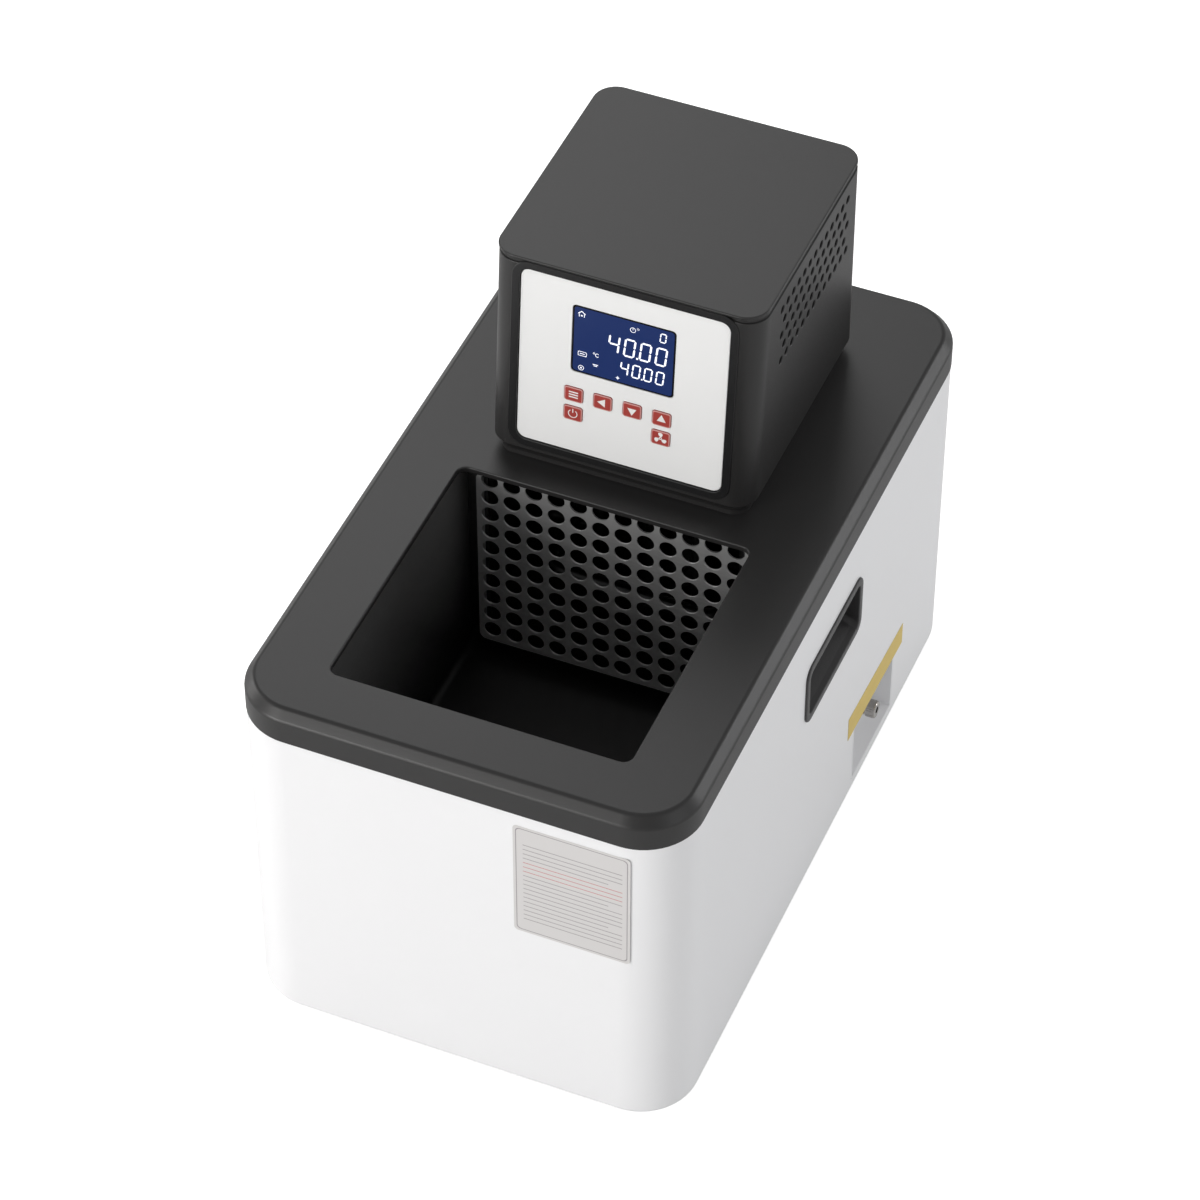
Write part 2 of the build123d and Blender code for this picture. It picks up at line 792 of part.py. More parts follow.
def base_places():
    # Centre, hole radius for each thing that passes through the head's base
    leg = heater_radius + side_clearance
    pipe = pipe_radius + side_clearance
    return [
        (pump_x, pump_y, column_bore),
        (-heater_leg_x, heater_back_y, leg),
        (heater_leg_x, heater_back_y, leg),
        (probe_x, probe_y, probe_radius + side_clearance),
        (pipe_x, outlet_y, pipe),
        (-pipe_x, outlet_y, pipe),
    ]


def make_head_base():
    inset = head_wall + side_clearance
    face_proud = bezel_proud - bezel_flange_wall
    low = head_front_y(neck_height + head_base_wall, face_proud) + inset
    back = head_back_y - inset
    radius = head_corner_radius - inset
    plate = block(
        head_width - 2 * inset, back - low, head_base_wall, radius, y=(low + back) / 2, bottom=head_bottom
    )
    for x, y, radius in base_places():
        plate -= rod(radius, head_base_wall, x, y, head_bottom)
    save("head_base", plate)


def make_head_shell():
    face_proud = bezel_proud - bezel_flange_wall
    shell_height = shell_top - deck_top
    shell = head_block(neck_height, shell_height, 0, face_proud)
    shell -= head_block(neck_height, shell_height, head_wall, face_proud)
    window_grow = 2 * (panel_clearance + bezel_tongue + side_clearance)
    window = panel_outline(window_grow / 2)
    shell -= on_panel(window, 0, 0, window_reach, -window_reach)
    hole = RegularPolygon(vent_radius, vent_sides)
    places = []
    for row in range(vent_rows):
        stagger = row % 2
        height = vent_top_height - row * vent_row_pitch
        for column in range(vent_columns - stagger):
            places.append((vent_first_y + (column + stagger / 2) * vent_pitch, height))
    vents = [Pos(y, deck_top + height) * hole for y, height in places]
    vent_plane = side_plane(-head_width / 2 - head_wall, 0, 0)
    shell -= extrude(vent_plane * Sketch(children=vents), head_width + 2 * head_wall)
    inlet_hole = Rectangle(inlet_body_width + 2 * side_clearance, inlet_body_height + 2 * side_clearance)
    shell -= extrude(back_plane(inlet_x, deck_top + inlet_height) * inlet_hole, 3 * head_wall, both=True)
    switch_hole_width = switch_width - 2 * switch_flange_edge + 2 * side_clearance
    switch_hole_tall = switch_tall - 2 * switch_flange_edge + 2 * side_clearance
    switch_hole = Rectangle(switch_hole_width, switch_hole_tall)
    shell -= extrude(back_plane(switch_x, deck_top + switch_height) * switch_hole, 3 * head_wall, both=True)
    for x in (-pipe_x, pipe_x):
        bore = back_plane(x, deck_top + nipple_height) * Circle(nipple_radius + side_clearance)
        shell -= extrude(bore, 3 * head_wall, both=True)
    for x in (-inlet_screw_spacing / 2, inlet_screw_spacing / 2):
        bore = back_plane(inlet_x + x, deck_top + inlet_height) * Circle(inlet_screw_radius + side_clearance)
        shell -= extrude(bore, 3 * head_wall, both=True)
    save("head_shell", shell)


def make_head_lid():
    plate_low = head_height - head_lid_wall
    front = head_front_y(head_height, bezel_proud - bezel_flange_wall) - head_lid_front
    depth = head_back_y - front
    middle_y = (front + head_back_y) / 2
    lid = block(head_width, depth, head_lid_wall, head_corner_radius, y=middle_y, bottom=deck_top + plate_low)
    lid = fillet(lid.faces().sort_by(Axis.Z)[-1].edges(), head_lid_edge)
    inset = head_wall + side_clearance
    pan_front = head_front_y(head_height, 0) + inset + panel_wall
    pan_depth = head_back_y - inset - pan_front
    pan_low = deck_top + plate_low - head_lid_pan_depth
    pan_y = (pan_front + head_back_y - inset) / 2
    pan_width = head_width - 2 * inset
    pan_radius = head_corner_radius - inset
    pan = block(pan_width, pan_depth, head_lid_pan_depth, pan_radius, y=pan_y, bottom=pan_low)
    pan -= block(
        pan_width - 2 * head_wall,
        pan_depth - 2 * head_wall,
        head_lid_pan_depth,
        pan_radius - head_wall,
        y=pan_y,
        bottom=pan_low,
    )
    save("head_lid", lid + pan)


# Panel, display and keys


def key_places():
    for name, u in key_columns.items():
        row = key_lower_row if name in ("power", "circulate") else key_upper_row
        yield name, u, row


def panel_outline(grow):
    return RectangleRounded(panel_width + 2 * grow, panel_height + 2 * grow, panel_corner_radius + grow)


def make_panel():
    opening = panel_clearance
    bezel = on_panel(panel_outline(bezel_frame), 0, 0, bezel_proud, bezel_proud - bezel_flange_wall)
    tongue_back = -panel_wall - bezel_ledge_wall
    tongue_front = bezel_proud - bezel_flange_wall
    bezel += on_panel(panel_outline(opening + bezel_tongue), 0, 0, tongue_front, tongue_back)
    bezel -= on_panel(panel_outline(opening), 0, 0, bezel_proud, -panel_wall)
    bezel -= on_panel(panel_outline(-bezel_ledge), 0, 0, -panel_wall, tongue_back)
    save("panel_bezel", bezel)

    lcd_cut = RectangleRounded(lcd_width, lcd_height, lcd_corner_radius)
    panel = on_panel(panel_outline(0), 0, 0, 0, -panel_wall)
    panel -= on_panel(lcd_cut, lcd_middle_x, lcd_middle_up, 0, -panel_wall)
    key_hole = RectangleRounded(
        key_width + 2 * key_clearance, key_height + 2 * key_clearance, key_corner_radius + key_clearance
    )
    for _, u, v in key_places():
        panel -= on_panel(key_hole, u, v, 0, -panel_wall)
    board_front = -panel_wall - lcd_module_depth
    post = Circle(board_post_radius)
    post_u = panel_width / 2 - board_margin - board_post_inset
    post_v = panel_height / 2 - board_margin - board_post_inset
    for u in (-post_u, post_u):
        for v in (-post_v, post_v):
            panel += on_panel(post, u, v, -panel_wall, board_front)
    save("control_panel", panel)

    glass = RectangleRounded(lcd_width - 2 * lcd_clearance, lcd_height - 2 * lcd_clearance, lcd_corner_radius)
    glass_back = -lcd_recess - lcd_glass_wall
    save("lcd_window", on_panel(glass, lcd_middle_x, lcd_middle_up, -lcd_recess, glass_back))
    module = Rectangle(lcd_width + 2 * lcd_module_margin, lcd_height + 2 * lcd_module_margin)
    save("lcd_module", on_panel(module, lcd_middle_x, lcd_middle_up, -panel_wall, board_front))

    board = Rectangle(panel_width - 2 * board_margin, panel_height - 2 * board_margin)
    board_solid = on_panel(board, 0, 0, board_front, board_front - board_wall)
    stem_back = -panel_wall - key_flange_gap - key_flange_wall - key_stem_length
    switch_front = stem_back - key_travel - key_switch_gap
    for _, u, v in key_places():
        board_solid += on_panel(Rectangle(key_switch_size, key_switch_size), u, v, switch_front, board_front)
    save("display_board", board_solid)

    cap = RectangleRounded(key_width, key_height, key_corner_radius)
    skirt = Rectangle(key_width + 2 * key_flange, key_height + 2 * key_flange)
    flange_front = -panel_wall - key_flange_gap
    for name, u, v in key_places():
        key = on_panel(cap, u, v, key_proud, flange_front)
        key += on_panel(skirt, u, v, flange_front, flange_front - key_flange_wall)
        key += on_panel(Circle(key_stem_radius), u, v, flange_front - key_flange_wall, stem_back)
        save(f"key_{name}", key)


# Pump


def make_motor():
    body = Circle(motor_radius) & Rectangle(2 * motor_flat, 2 * motor_radius)
    inner_flats = Rectangle(2 * (motor_flat - motor_band_step), 2 * motor_radius)
    inner = Circle(motor_radius - motor_band_step) & inner_flats
    end_height = (motor_height - motor_band_height) / 2
    motor = Pos(pump_x, pump_y, base_top) * extrude(inner, motor_height)
    motor += Pos(pump_x, pump_y, base_top + end_height) * extrude(body, motor_band_height)
    motor -= rod(shaft_radius + shaft_clearance, motor_height, pump_x, pump_y, base_top)
    save("pump_motor", motor)

    shaft_bottom = volute_bottom + volute_wall + impeller_gap
    shaft_top = base_top + motor_height + shaft_above_motor
    save("pump_shaft", rod(shaft_radius, shaft_top - shaft_bottom, pump_x, pump_y, shaft_bottom))

    fan_bottom = base_top + motor_height + fan_gap
    fan = tube(fan_hub_radius, shaft_radius + shaft_fit, fan_hub_height, pump_x, pump_y, fan_bottom)
    blade_reach = fan_radius - fan_hub_radius + 1
    for step in range(fan_blades):
        blade = Rot(fan_blade_pitch, 0, 0) * Box(blade_reach, fan_hub_height, fan_blade_wall)
        blade = Pos(fan_radius - blade_reach / 2, 0, fan_hub_height / 2) * blade
        fan += Pos(pump_x, pump_y, fan_bottom) * Rot(0, 0, step * 360 / fan_blades) * blade
    save("cooling_fan", fan)


def make_pump():
    volute_top = volute_bottom + volute_height
    column_bottom = volute_top
    column_height = head_bottom - column_bottom
    column = tube(column_radius, column_bore, column_height, pump_x, pump_y, column_bottom)
    flange_bottom = head_bottom - column_flange_wall
    column += tube(column_flange_radius, column_bore, column_flange_wall, pump_x, pump_y, flange_bottom)
    column += tube(column_flange_radius, column_bore, column_flange_wall, pump_x, pump_y, column_bottom)
    save("pump_column", column)
    bush_bottom = column_bottom + bush_lift
    bush_bore = shaft_radius + shaft_clearance
    bush = tube(column_bore - shaft_fit, bush_bore, bush_height, pump_x, pump_y, bush_bottom)
    save("shaft_bush", bush)

    housing = rod(volute_radius, volute_height, pump_x, pump_y, volute_bottom)
    outlet_plane = Plane(origin=(pump_x, outlet_y, outlet_z), x_dir=(0, 1, 0), z_dir=(-1, 0, 0))
    housing += extrude(outlet_plane * Circle(volute_outlet_radius), volute_outlet_reach)
    housing -= rod(volute_bore, volute_height - 2 * volute_wall, pump_x, pump_y, volute_bottom + volute_wall)
    housing -= rod(volute_eye_radius, volute_wall, pump_x, pump_y, volute_bottom)
    housing -= rod(shaft_radius + volute_shaft_gap, volute_wall, pump_x, pump_y, volute_top - volute_wall)
    housing -= extrude(outlet_plane * Circle(volute_outlet_bore), volute_outlet_reach)
    save("pump_housing", housing)

    impeller_bottom = volute_bottom + volute_wall + impeller_gap
    disc_bottom = impeller_bottom + impeller_vane_height
    impeller = rod(impeller_radius, impeller_disc, pump_x, pump_y, disc_bottom)
    impeller += rod(impeller_hub_radius, impeller_vane_height, pump_x, pump_y, impeller_bottom)
    vane_start = (impeller_hub_radius - 1, 0)
    vane_path = ThreePointArc(vane_start, impeller_vane_middle, impeller_vane_tip)
    vane = extrude(trace(vane_path, impeller_vane_wall), impeller_vane_height)
    for step in range(impeller_vanes):
        impeller += Pos(pump_x, pump_y, impeller_bottom) * Rot(0, 0, step * 360 / impeller_vanes) * vane
    impeller_height = impeller_vane_height + impeller_disc
    impeller -= rod(shaft_radius + shaft_fit, impeller_height, pump_x, pump_y, impeller_bottom)
    save("pump_impeller", impeller)


# Heater, probe, pipes


def make_heater():
    low = tank_floor_top + heater_floor_gap
    top = base_top + heater_terminal_height + gland_height
    left = -heater_leg_x
    right = heater_leg_x
    points = [(left, heater_back_y, top), (left, heater_back_y, low + heater_rise_left_back)]
    points.append((left, heater_front_y, low + heater_rise_left_front))
    points.append((right, heater_front_y, low + heater_rise_right_front))
    points.append((right, heater_back_y, low + heater_rise_right_back))
    points.append((right, heater_back_y, top))
    save("heater_coil", pipe_along(points, heater_bend_radius, heater_radius))

    glands = []
    for x in (left, right):
        gland = bolt_head(gland_across, gland_height, x, heater_back_y, base_top)
        gland -= rod(heater_radius + gland_clearance, gland_height, x, heater_back_y, base_top)
        glands.append(gland)
    save("heater_glands", Compound(children=glands))


def make_probe():
    probe_bottom = tank_floor_top + probe_floor_gap
    probe = rod(probe_radius, base_top - probe_bottom, probe_x, probe_y, probe_bottom)
    probe += bolt_head(probe_head_across, probe_head_height, probe_x, probe_y, base_top)
    save("temperature_probe", probe)


def make_pipes():
    nipple_z = deck_top + nipple_height
    socket_y = head_back_y - head_wall - nipple_socket_length
    pipe_end_y = socket_y + nipple_socket_grip
    riser_start = pump_x - volute_outlet_reach + pipe_grip
    riser_points = [
        (riser_start, outlet_y, outlet_z),
        (-pipe_x, outlet_y, outlet_z),
        (-pipe_x, outlet_y, nipple_z),
        (-pipe_x, pipe_end_y, nipple_z),
    ]
    save("outlet_pipe", pipe_along(riser_points, pipe_bend_radius, pipe_radius, pipe_bore))
    return_points = [
        (pipe_x, outlet_y, deck_top - return_below_deck),
        (pipe_x, outlet_y, nipple_z),
        (pipe_x, pipe_end_y, nipple_z),
    ]
    save("return_pipe", pipe_along(return_points, pipe_bend_radius, pipe_radius, pipe_bore))

    for name, x in (("outlet_nipple", -pipe_x), ("return_nipple", pipe_x)):
        face = back_plane(x, nipple_z)
        nipple = extrude(face * Circle(nipple_radius), nipple_reach)
        nipple = chamfer(nipple.faces().sort_by(Axis.Y)[-1].edges(), nipple_lead)
        nipple += extrude(face * RegularPolygon(nipple_hex_across / math.sqrt(3), 6), nipple_hex_height)
        nipple += extrude(face * Circle(nipple_radius), -head_wall)
        socket_face = Plane(origin=(x, head_back_y - head_wall, nipple_z), z_dir=(0, -1, 0))
        nipple += extrude(socket_face * Circle(nipple_socket_radius), nipple_socket_length)
        grip_face = Plane(origin=(x, socket_y, nipple_z), z_dir=(0, 1, 0))
        nipple -= extrude(grip_face * Circle(pipe_radius + shaft_clearance), nipple_socket_grip)
        nipple -= extrude(grip_face * Circle(nipple_bore), nipple_socket_length + head_wall + nipple_reach)
        save(name, nipple)


# Electrics on the back and inside


def make_inlet():
    face = back_plane(inlet_x, deck_top + inlet_height)
    flange = RectangleRounded(inlet_flange_width, inlet_flange_height, inlet_flange_radius)
    inlet = extrude(face * flange, inlet_flange_wall)
    inlet += extrude(face * Rectangle(inlet_body_width, inlet_body_height), -inlet_body_depth)
    half_width = inlet_well_width / 2
    half_height = inlet_well_height / 2
    corner = inlet_well_corner
    well = Polyline(
        (-half_width, -half_height),
        (half_width, -half_height),
        (half_width, half_height - corner),
        (half_width - corner, half_height),
        (-half_width + corner, half_height),
        (-half_width, half_height - corner),
        close=True,
    )
    mouth = face.offset(inlet_flange_wall)
    inlet -= extrude(mouth * make_face(well), -inlet_well_depth)
    pin_face = face.offset(inlet_flange_wall - inlet_well_depth)
    pin = Rectangle(inlet_pin_width, inlet_pin_height)
    for u, v in inlet_pins:
        inlet += extrude(pin_face * Pos(u, v) * pin, inlet_pin_length)
    screws = []
    for u in (-inlet_screw_spacing / 2, inlet_screw_spacing / 2):
        place = Pos(u, 0)
        inlet -= extrude(face * place * Circle(inlet_screw_radius + side_clearance), inlet_flange_wall)
        screw = extrude(face.offset(inlet_flange_wall) * place * Circle(inlet_screw_head), inlet_screw_radius)
        screw_face = face.offset(inlet_flange_wall) * place
        screw += extrude(screw_face * Circle(inlet_screw_radius), -inlet_screw_length)
        screws.append(screw)
    save("power_inlet", inlet)
    save("inlet_screws", Compound(children=screws))


def make_switch():
    middle_z = deck_top + switch_height
    face = back_plane(switch_x, middle_z)
    front = face.offset(switch_flange_wall)
    body_width = switch_width - 2 * switch_flange_edge
    body_tall = switch_tall - 2 * switch_flange_edge
    flange = RectangleRounded(switch_width, switch_tall, switch_flange_radius)
    housing = extrude(face * flange, switch_flange_wall)
    housing += extrude(face * Rectangle(body_width, body_tall), -switch_body_depth)
    well = Rectangle(rocker_width + 2 * rocker_clearance, rocker_tall + 2 * rocker_clearance)
    housing -= extrude(front * well, -rocker_well_depth)
    pivot_y = head_back_y + switch_flange_wall - rocker_pivot_depth
    pivot = Plane(origin=(switch_x, pivot_y, middle_z), x_dir=(0, 1, 0), z_dir=(1, 0, 0))
    pin_reach = rocker_width / 2 + rocker_clearance + rocker_pin_grip
    bore = Circle(rocker_pin_radius + rocker_pin_clearance)
    housing -= extrude(pivot * bore, pin_reach + rocker_clearance, both=True)
    save("switch_housing", housing)

    half = rocker_tall / 2
    outline = Polyline(
        (rocker_end, -half),
        (rocker_crown, 0),
        (rocker_end, half),
        (-rocker_keel, half - rocker_keel_inset),
        (-rocker_keel, -half + rocker_keel_inset),
        close=True,
    )
    rocker = extrude(pivot * make_face(outline), rocker_width / 2, both=True)
    rocker += extrude(pivot * Circle(rocker_pin_radius), pin_reach, both=True)
    rocker = rocker.rotate(Axis((switch_x, pivot_y, middle_z), (1, 0, 0)), rocker_tilt)
    save("switch_rocker", rocker)


def make_electronics():
    core = block(transformer_width, transformer_core_depth, transformer_height, 0, 0, supply_y, base_top)
    winding_bottom = base_top + transformer_foot_height
    winding_height = transformer_height - 2 * transformer_foot_height
    core += block(
        transformer_winding_width, transformer_depth, winding_height, 2.0, 0, supply_y, winding_bottom
    )
    core += block(transformer_width, transformer_depth, transformer_foot_height, 0, 0, supply_y, base_top)
    save("mains_transformer", core)

    fins_x = head_width / 2 - head_wall - sink_wall_gap - sink_fin_reach
    sink = block(sink_base, sink_length, sink_height, 0, fins_x - sink_base / 2, supply_y, base_top)
    first_y = supply_y - (sink_fins - 1) * sink_fin_pitch / 2
    for step in range(sink_fins):
        y = first_y + step * sink_fin_pitch
        sink += block(sink_fin_reach, sink_fin_wall, sink_height, 0, fins_x + sink_fin_reach / 2, y, base_top)
    save("heat_sink", sink)
    relay_x = fins_x - sink_base - relay_depth / 2
    relay = block(relay_depth, relay_length, relay_height, 1.5, relay_x, supply_y, base_top)
    save("solid_state_relay", relay)

    board_x = -head_width / 2 + head_wall + control_board_gap
    board = block(board_wall, control_board_length, control_board_height, 0, board_x, supply_y, base_top)
    part_x = board_x + board_wall / 2
    for y, up, size in control_parts:
        component = Box(control_part_depth, size, size)
        board += Pos(part_x + control_part_depth / 2, supply_y + y, base_top + up) * component
    save("control_board", board)


make_deck_cover()
make_body_shell()
make_base_plate()
make_feet()
make_tank()
make_guard()
make_handle("handle_cup_right", 1)
make_handle("handle_cup_left", -1)
make_drain()
make_head_neck()
make_head_base()
make_head_shell()
make_head_lid()
make_panel()
make_motor()
make_pump()
make_heater()
make_probe()
make_pipes()
make_inlet()
make_switch()
make_electronics()
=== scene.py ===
import math
import bmesh
import bpy
from mathutils import Matrix, Vector


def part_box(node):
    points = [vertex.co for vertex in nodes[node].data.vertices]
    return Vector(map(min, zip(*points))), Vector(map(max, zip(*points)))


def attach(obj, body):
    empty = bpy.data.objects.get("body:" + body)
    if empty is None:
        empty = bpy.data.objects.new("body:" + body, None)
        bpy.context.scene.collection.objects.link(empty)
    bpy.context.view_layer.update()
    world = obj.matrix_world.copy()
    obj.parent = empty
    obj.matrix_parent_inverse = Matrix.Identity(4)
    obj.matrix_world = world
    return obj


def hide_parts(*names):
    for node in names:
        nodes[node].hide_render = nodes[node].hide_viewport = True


# Circulating oil bath. Camera and lamps are in metres, the other sizes in millimetres.
# Heights are counted from the top of the deck cover, places on the panel from its middle.
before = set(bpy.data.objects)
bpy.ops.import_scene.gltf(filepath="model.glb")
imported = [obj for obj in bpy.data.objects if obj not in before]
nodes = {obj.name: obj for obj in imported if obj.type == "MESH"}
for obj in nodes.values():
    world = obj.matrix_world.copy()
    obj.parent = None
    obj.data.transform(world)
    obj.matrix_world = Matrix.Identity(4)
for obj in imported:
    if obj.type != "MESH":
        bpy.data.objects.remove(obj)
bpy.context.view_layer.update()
mm = 0.001
print("frame loaded:", len(nodes), "CAD nodes")


# Camera, floor and lamps

camera = {
    "place": (0.63791, -1.53981, 1.79202),
    "azimuth": 22.700,
    "elevation": 44.651,
    "roll": 0.042,
    "lens": 141.54,
}


def makeCamera():
    data = bpy.data.cameras.new("camera")
    data.lens = camera["lens"]
    data.sensor_width = 36.0
    data.clip_end = 20.0
    eye = bpy.data.objects.new("camera", data)
    turn = Matrix.Rotation(math.radians(camera["azimuth"]), 4, "Z")
    turn @= Matrix.Rotation(math.radians(90 - camera["elevation"]), 4, "X")
    turn @= Matrix.Rotation(math.radians(camera["roll"]), 4, "Z")
    eye.matrix_world = Matrix.Translation(camera["place"]) @ turn
    bpy.context.scene.collection.objects.link(eye)
    bpy.context.scene.camera = eye


studio = {
    "floorSize": 12.0,
    "floorColour": (0.86, 0.86, 0.86, 1.0),
    "floorGlow": 0.66,
    "worldLight": 0.45,
    "lamps": [
        # name, place, aim, size, power, colour
        ("keyLamp", (-1.25, -2.3, 0.75), (-0.1, -0.2, 0.18), 1.1, 40.0, (1.0, 0.99, 0.975)),
        ("leftLamp", (-1.9, -0.1, 0.62), (-0.1, -0.15, 0.2), 0.7, 8.0, (1.0, 0.99, 0.98)),
        ("rightLamp", (1.75, 1.45, 0.75), (0.1, 0.0, 0.2), 0.8, 11.0, (0.985, 0.99, 1.0)),
        ("fillLamp", (2.6, -0.7, 1.1), (0.05, 0.0, 0.12), 1.6, 9.0, (0.975, 0.985, 1.0)),
        ("backLamp", (-1.15, 1.85, 2.1), (-0.1, -0.2, 0.2), 1.5, 15.0, (1.0, 1.0, 1.0)),
    ],
}


def connect(tree, node, inputs):
    # Each input gets a constant or another node's output
    for key, value in inputs.items():
        if isinstance(value, bpy.types.NodeSocket):
            tree.links.new(value, node.inputs[key])
        else:
            node.inputs[key].default_value = value


def addNode(tree, kind, inputs=None, **settings):
    node = tree.nodes.new("ShaderNode" + kind)
    for key, value in settings.items():
        setattr(node, key, value)
    connect(tree, node, inputs or {})
    return node


def floorMaterial():
    # Pale matt floor that looks white to the camera
    material = bpy.data.materials.new("paleFloor")
    material.use_nodes = True
    tree = material.node_tree
    seen = addNode(tree, "LightPath").outputs["Is Camera Ray"]
    glow = addNode(tree, "Math", {0: seen, 1: studio["floorGlow"]}, operation="MULTIPLY")
    connect(tree, tree.nodes["Principled BSDF"], {
        "Base Color": studio["floorColour"],
        "Roughness": 0.95,
        "Specular IOR Level": 0.0,
        "Emission Strength": glow.outputs[0],
        "Emission Color": (1.0, 1.0, 1.0, 1.0),
    })
    return material


def makeWorld():
    # White where the camera sees it, dimmer as a light
    world = bpy.data.worlds.new("studio")
    bpy.context.scene.world = world
    world.use_nodes = True
    tree = world.node_tree
    path = addNode(tree, "LightPath").outputs
    rays = {0: path["Is Camera Ray"], 1: path["Is Transmission Ray"]}
    seen = addNode(tree, "Math", rays, operation="MAXIMUM").outputs[0]
    level = addNode(tree, "MapRange", {"To Min": studio["worldLight"], "To Max": 1.0, "Value": seen})
    connect(tree, tree.nodes["Background"], {"Color": (1.0, 1.0, 1.0, 1.0), "Strength": level.outputs[0]})


def makeFloor():
    half = studio["floorSize"] / 2
    mesh = bmesh.new()
    corners = ((-half, -half), (half, -half), (half, half), (-half, half))
    mesh.faces.new([mesh.verts.new((x, y, 0.0)) for x, y in corners])
    data = bpy.data.meshes.new("floor")
    mesh.to_mesh(data)
    mesh.free()
    floor = bpy.data.objects.new("floor", data)
    bpy.context.scene.collection.objects.link(floor)
    data.materials.append(floorMaterial())


def makeLamps():
    for name, place, aim, size, power, colour in studio["lamps"]:
        light = bpy.data.lights.new(name, "AREA")
        light.shape = "SQUARE"
        light.size = size
        light.energy = power
        light.color = colour
        lamp = bpy.data.objects.new(name, light)
        turn = (Vector(aim) - Vector(place)).to_track_quat("-Z", "Y")
        lamp.matrix_world = Matrix.Translation(place) @ turn.to_matrix().to_4x4()
        bpy.context.scene.collection.objects.link(lamp)


makeCamera()
makeWorld()
makeFloor()
makeLamps()
bpy.context.scene.view_settings.view_transform = "Standard"
print("camera and studio made")


# Surface effects shared by several materials

def newGroup(name, inputs, outputs):
    group = bpy.data.node_groups.new(name, "ShaderNodeTree")
    for label, kind, value in inputs:
        socket = group.interface.new_socket(name=label, in_out="INPUT", socket_type="NodeSocket" + kind)
        socket.default_value = value
    for label, kind in outputs:
        group.interface.new_socket(name=label, in_out="OUTPUT", socket_type="NodeSocket" + kind)
    return group, group.nodes.new("NodeGroupInput").outputs, group.nodes.new("NodeGroupOutput")


def makeGrainGroup():
    # Fine even grain of a coating or moulding, with a slow drift in shade
    inputs = [("Grain", "Float", 900.0), ("Drift", "Float", 6.0), ("Depth", "Float", 0.1)]
    outputs = [("Speckle", "Float"), ("Drift", "Float"), ("Normal", "Vector")]
    group, given, result = newGroup("coatGrain", inputs, outputs)
    place = addNode(group, "TexCoord").outputs["Object"]
    noises = []
    for label, detail in (("Grain", 3.0), ("Drift", 2.0)):
        noises.append(addNode(group, "TexNoise", {"Vector": place, "Scale": given[label], "Detail": detail}))
    fine, slow = (noise.outputs["Fac"] for noise in noises)
    bump = addNode(group, "Bump", {"Distance": 0.0002, "Strength": given["Depth"], "Height": fine})
    connect(group, result, {"Speckle": fine, "Drift": slow, "Normal": bump.outputs["Normal"]})
    return group


def makeBrushGroup():
    # Long thin lines of rolled or brushed sheet, stretched along one direction
    inputs = [("Stretch", "Vector", (1.0, 1.0, 1.0)), ("Depth", "Float", 0.1)]
    group, given, result = newGroup("brushedLines", inputs, [("Lines", "Float"), ("Normal", "Vector")])
    place = addNode(group, "TexCoord").outputs["Object"]
    stretched = addNode(group, "VectorMath", {0: place, 1: given["Stretch"]}, operation="MULTIPLY").outputs[0]
    lines = addNode(group, "TexNoise", {"Vector": stretched, "Scale": 1.0, "Detail": 4.0}).outputs["Fac"]
    bump = addNode(group, "Bump", {"Distance": 0.0001, "Strength": given["Depth"], "Height": lines})
    connect(group, result, {"Lines": lines, "Normal": bump.outputs["Normal"]})
    return group


coatGrain = makeGrainGroup()
brushedLines = makeBrushGroup()


def surface(name, group, effects, patterns, colour, shade, roughness, uneven, metallic):
    # A material whose shade and gloss follow two of a group's patterns
    material = bpy.data.materials.new(name)
    material.use_nodes = True
    tree = material.node_tree
    effect = addNode(tree, "Group", effects, node_tree=group)
    shadePattern, glossPattern = (effect.outputs[pattern] for pattern in patterns)
    dark = tuple(max(0.0, part * (1 - shade)) for part in colour) + (1.0,)
    light = tuple(min(1.0, part * (1 + shade)) for part in colour) + (1.0,)
    mix = addNode(tree, "Mix", {0: shadePattern}, data_type="RGBA")
    connect(tree, mix, {6: dark, 7: light})
    gloss = {"To Min": roughness - uneven, "To Max": roughness + uneven, "Value": glossPattern}
    band = addNode(tree, "MapRange", gloss)
    connect(tree, tree.nodes["Principled BSDF"], {
        "Base Color": mix.outputs[2],
        "Roughness": band.outputs[0],
        "Normal": effect.outputs["Normal"],
        "Metallic": metallic,
    })
    return material


def coated(name, colour, roughness, grain=900.0, depth=0.1, drift=6.0, shade=0.04, uneven=0.04, metallic=0.0):
    # A painted, moulded or plated surface
    effects = {"Grain": grain, "Drift": drift, "Depth": depth}
    return surface(name, coatGrain, effects, ("Drift", "Speckle"), colour, shade, roughness, uneven, metallic)


def brushed(name, colour, roughness, stretch, depth=0.15, shade=0.08, uneven=0.06):
    # Bare sheet or bar with a direction
    effects = {"Stretch": stretch, "Depth": depth}
    return surface(name, brushedLines, effects, ("Lines", "Lines"), colour, shade, roughness, uneven, 1.0)


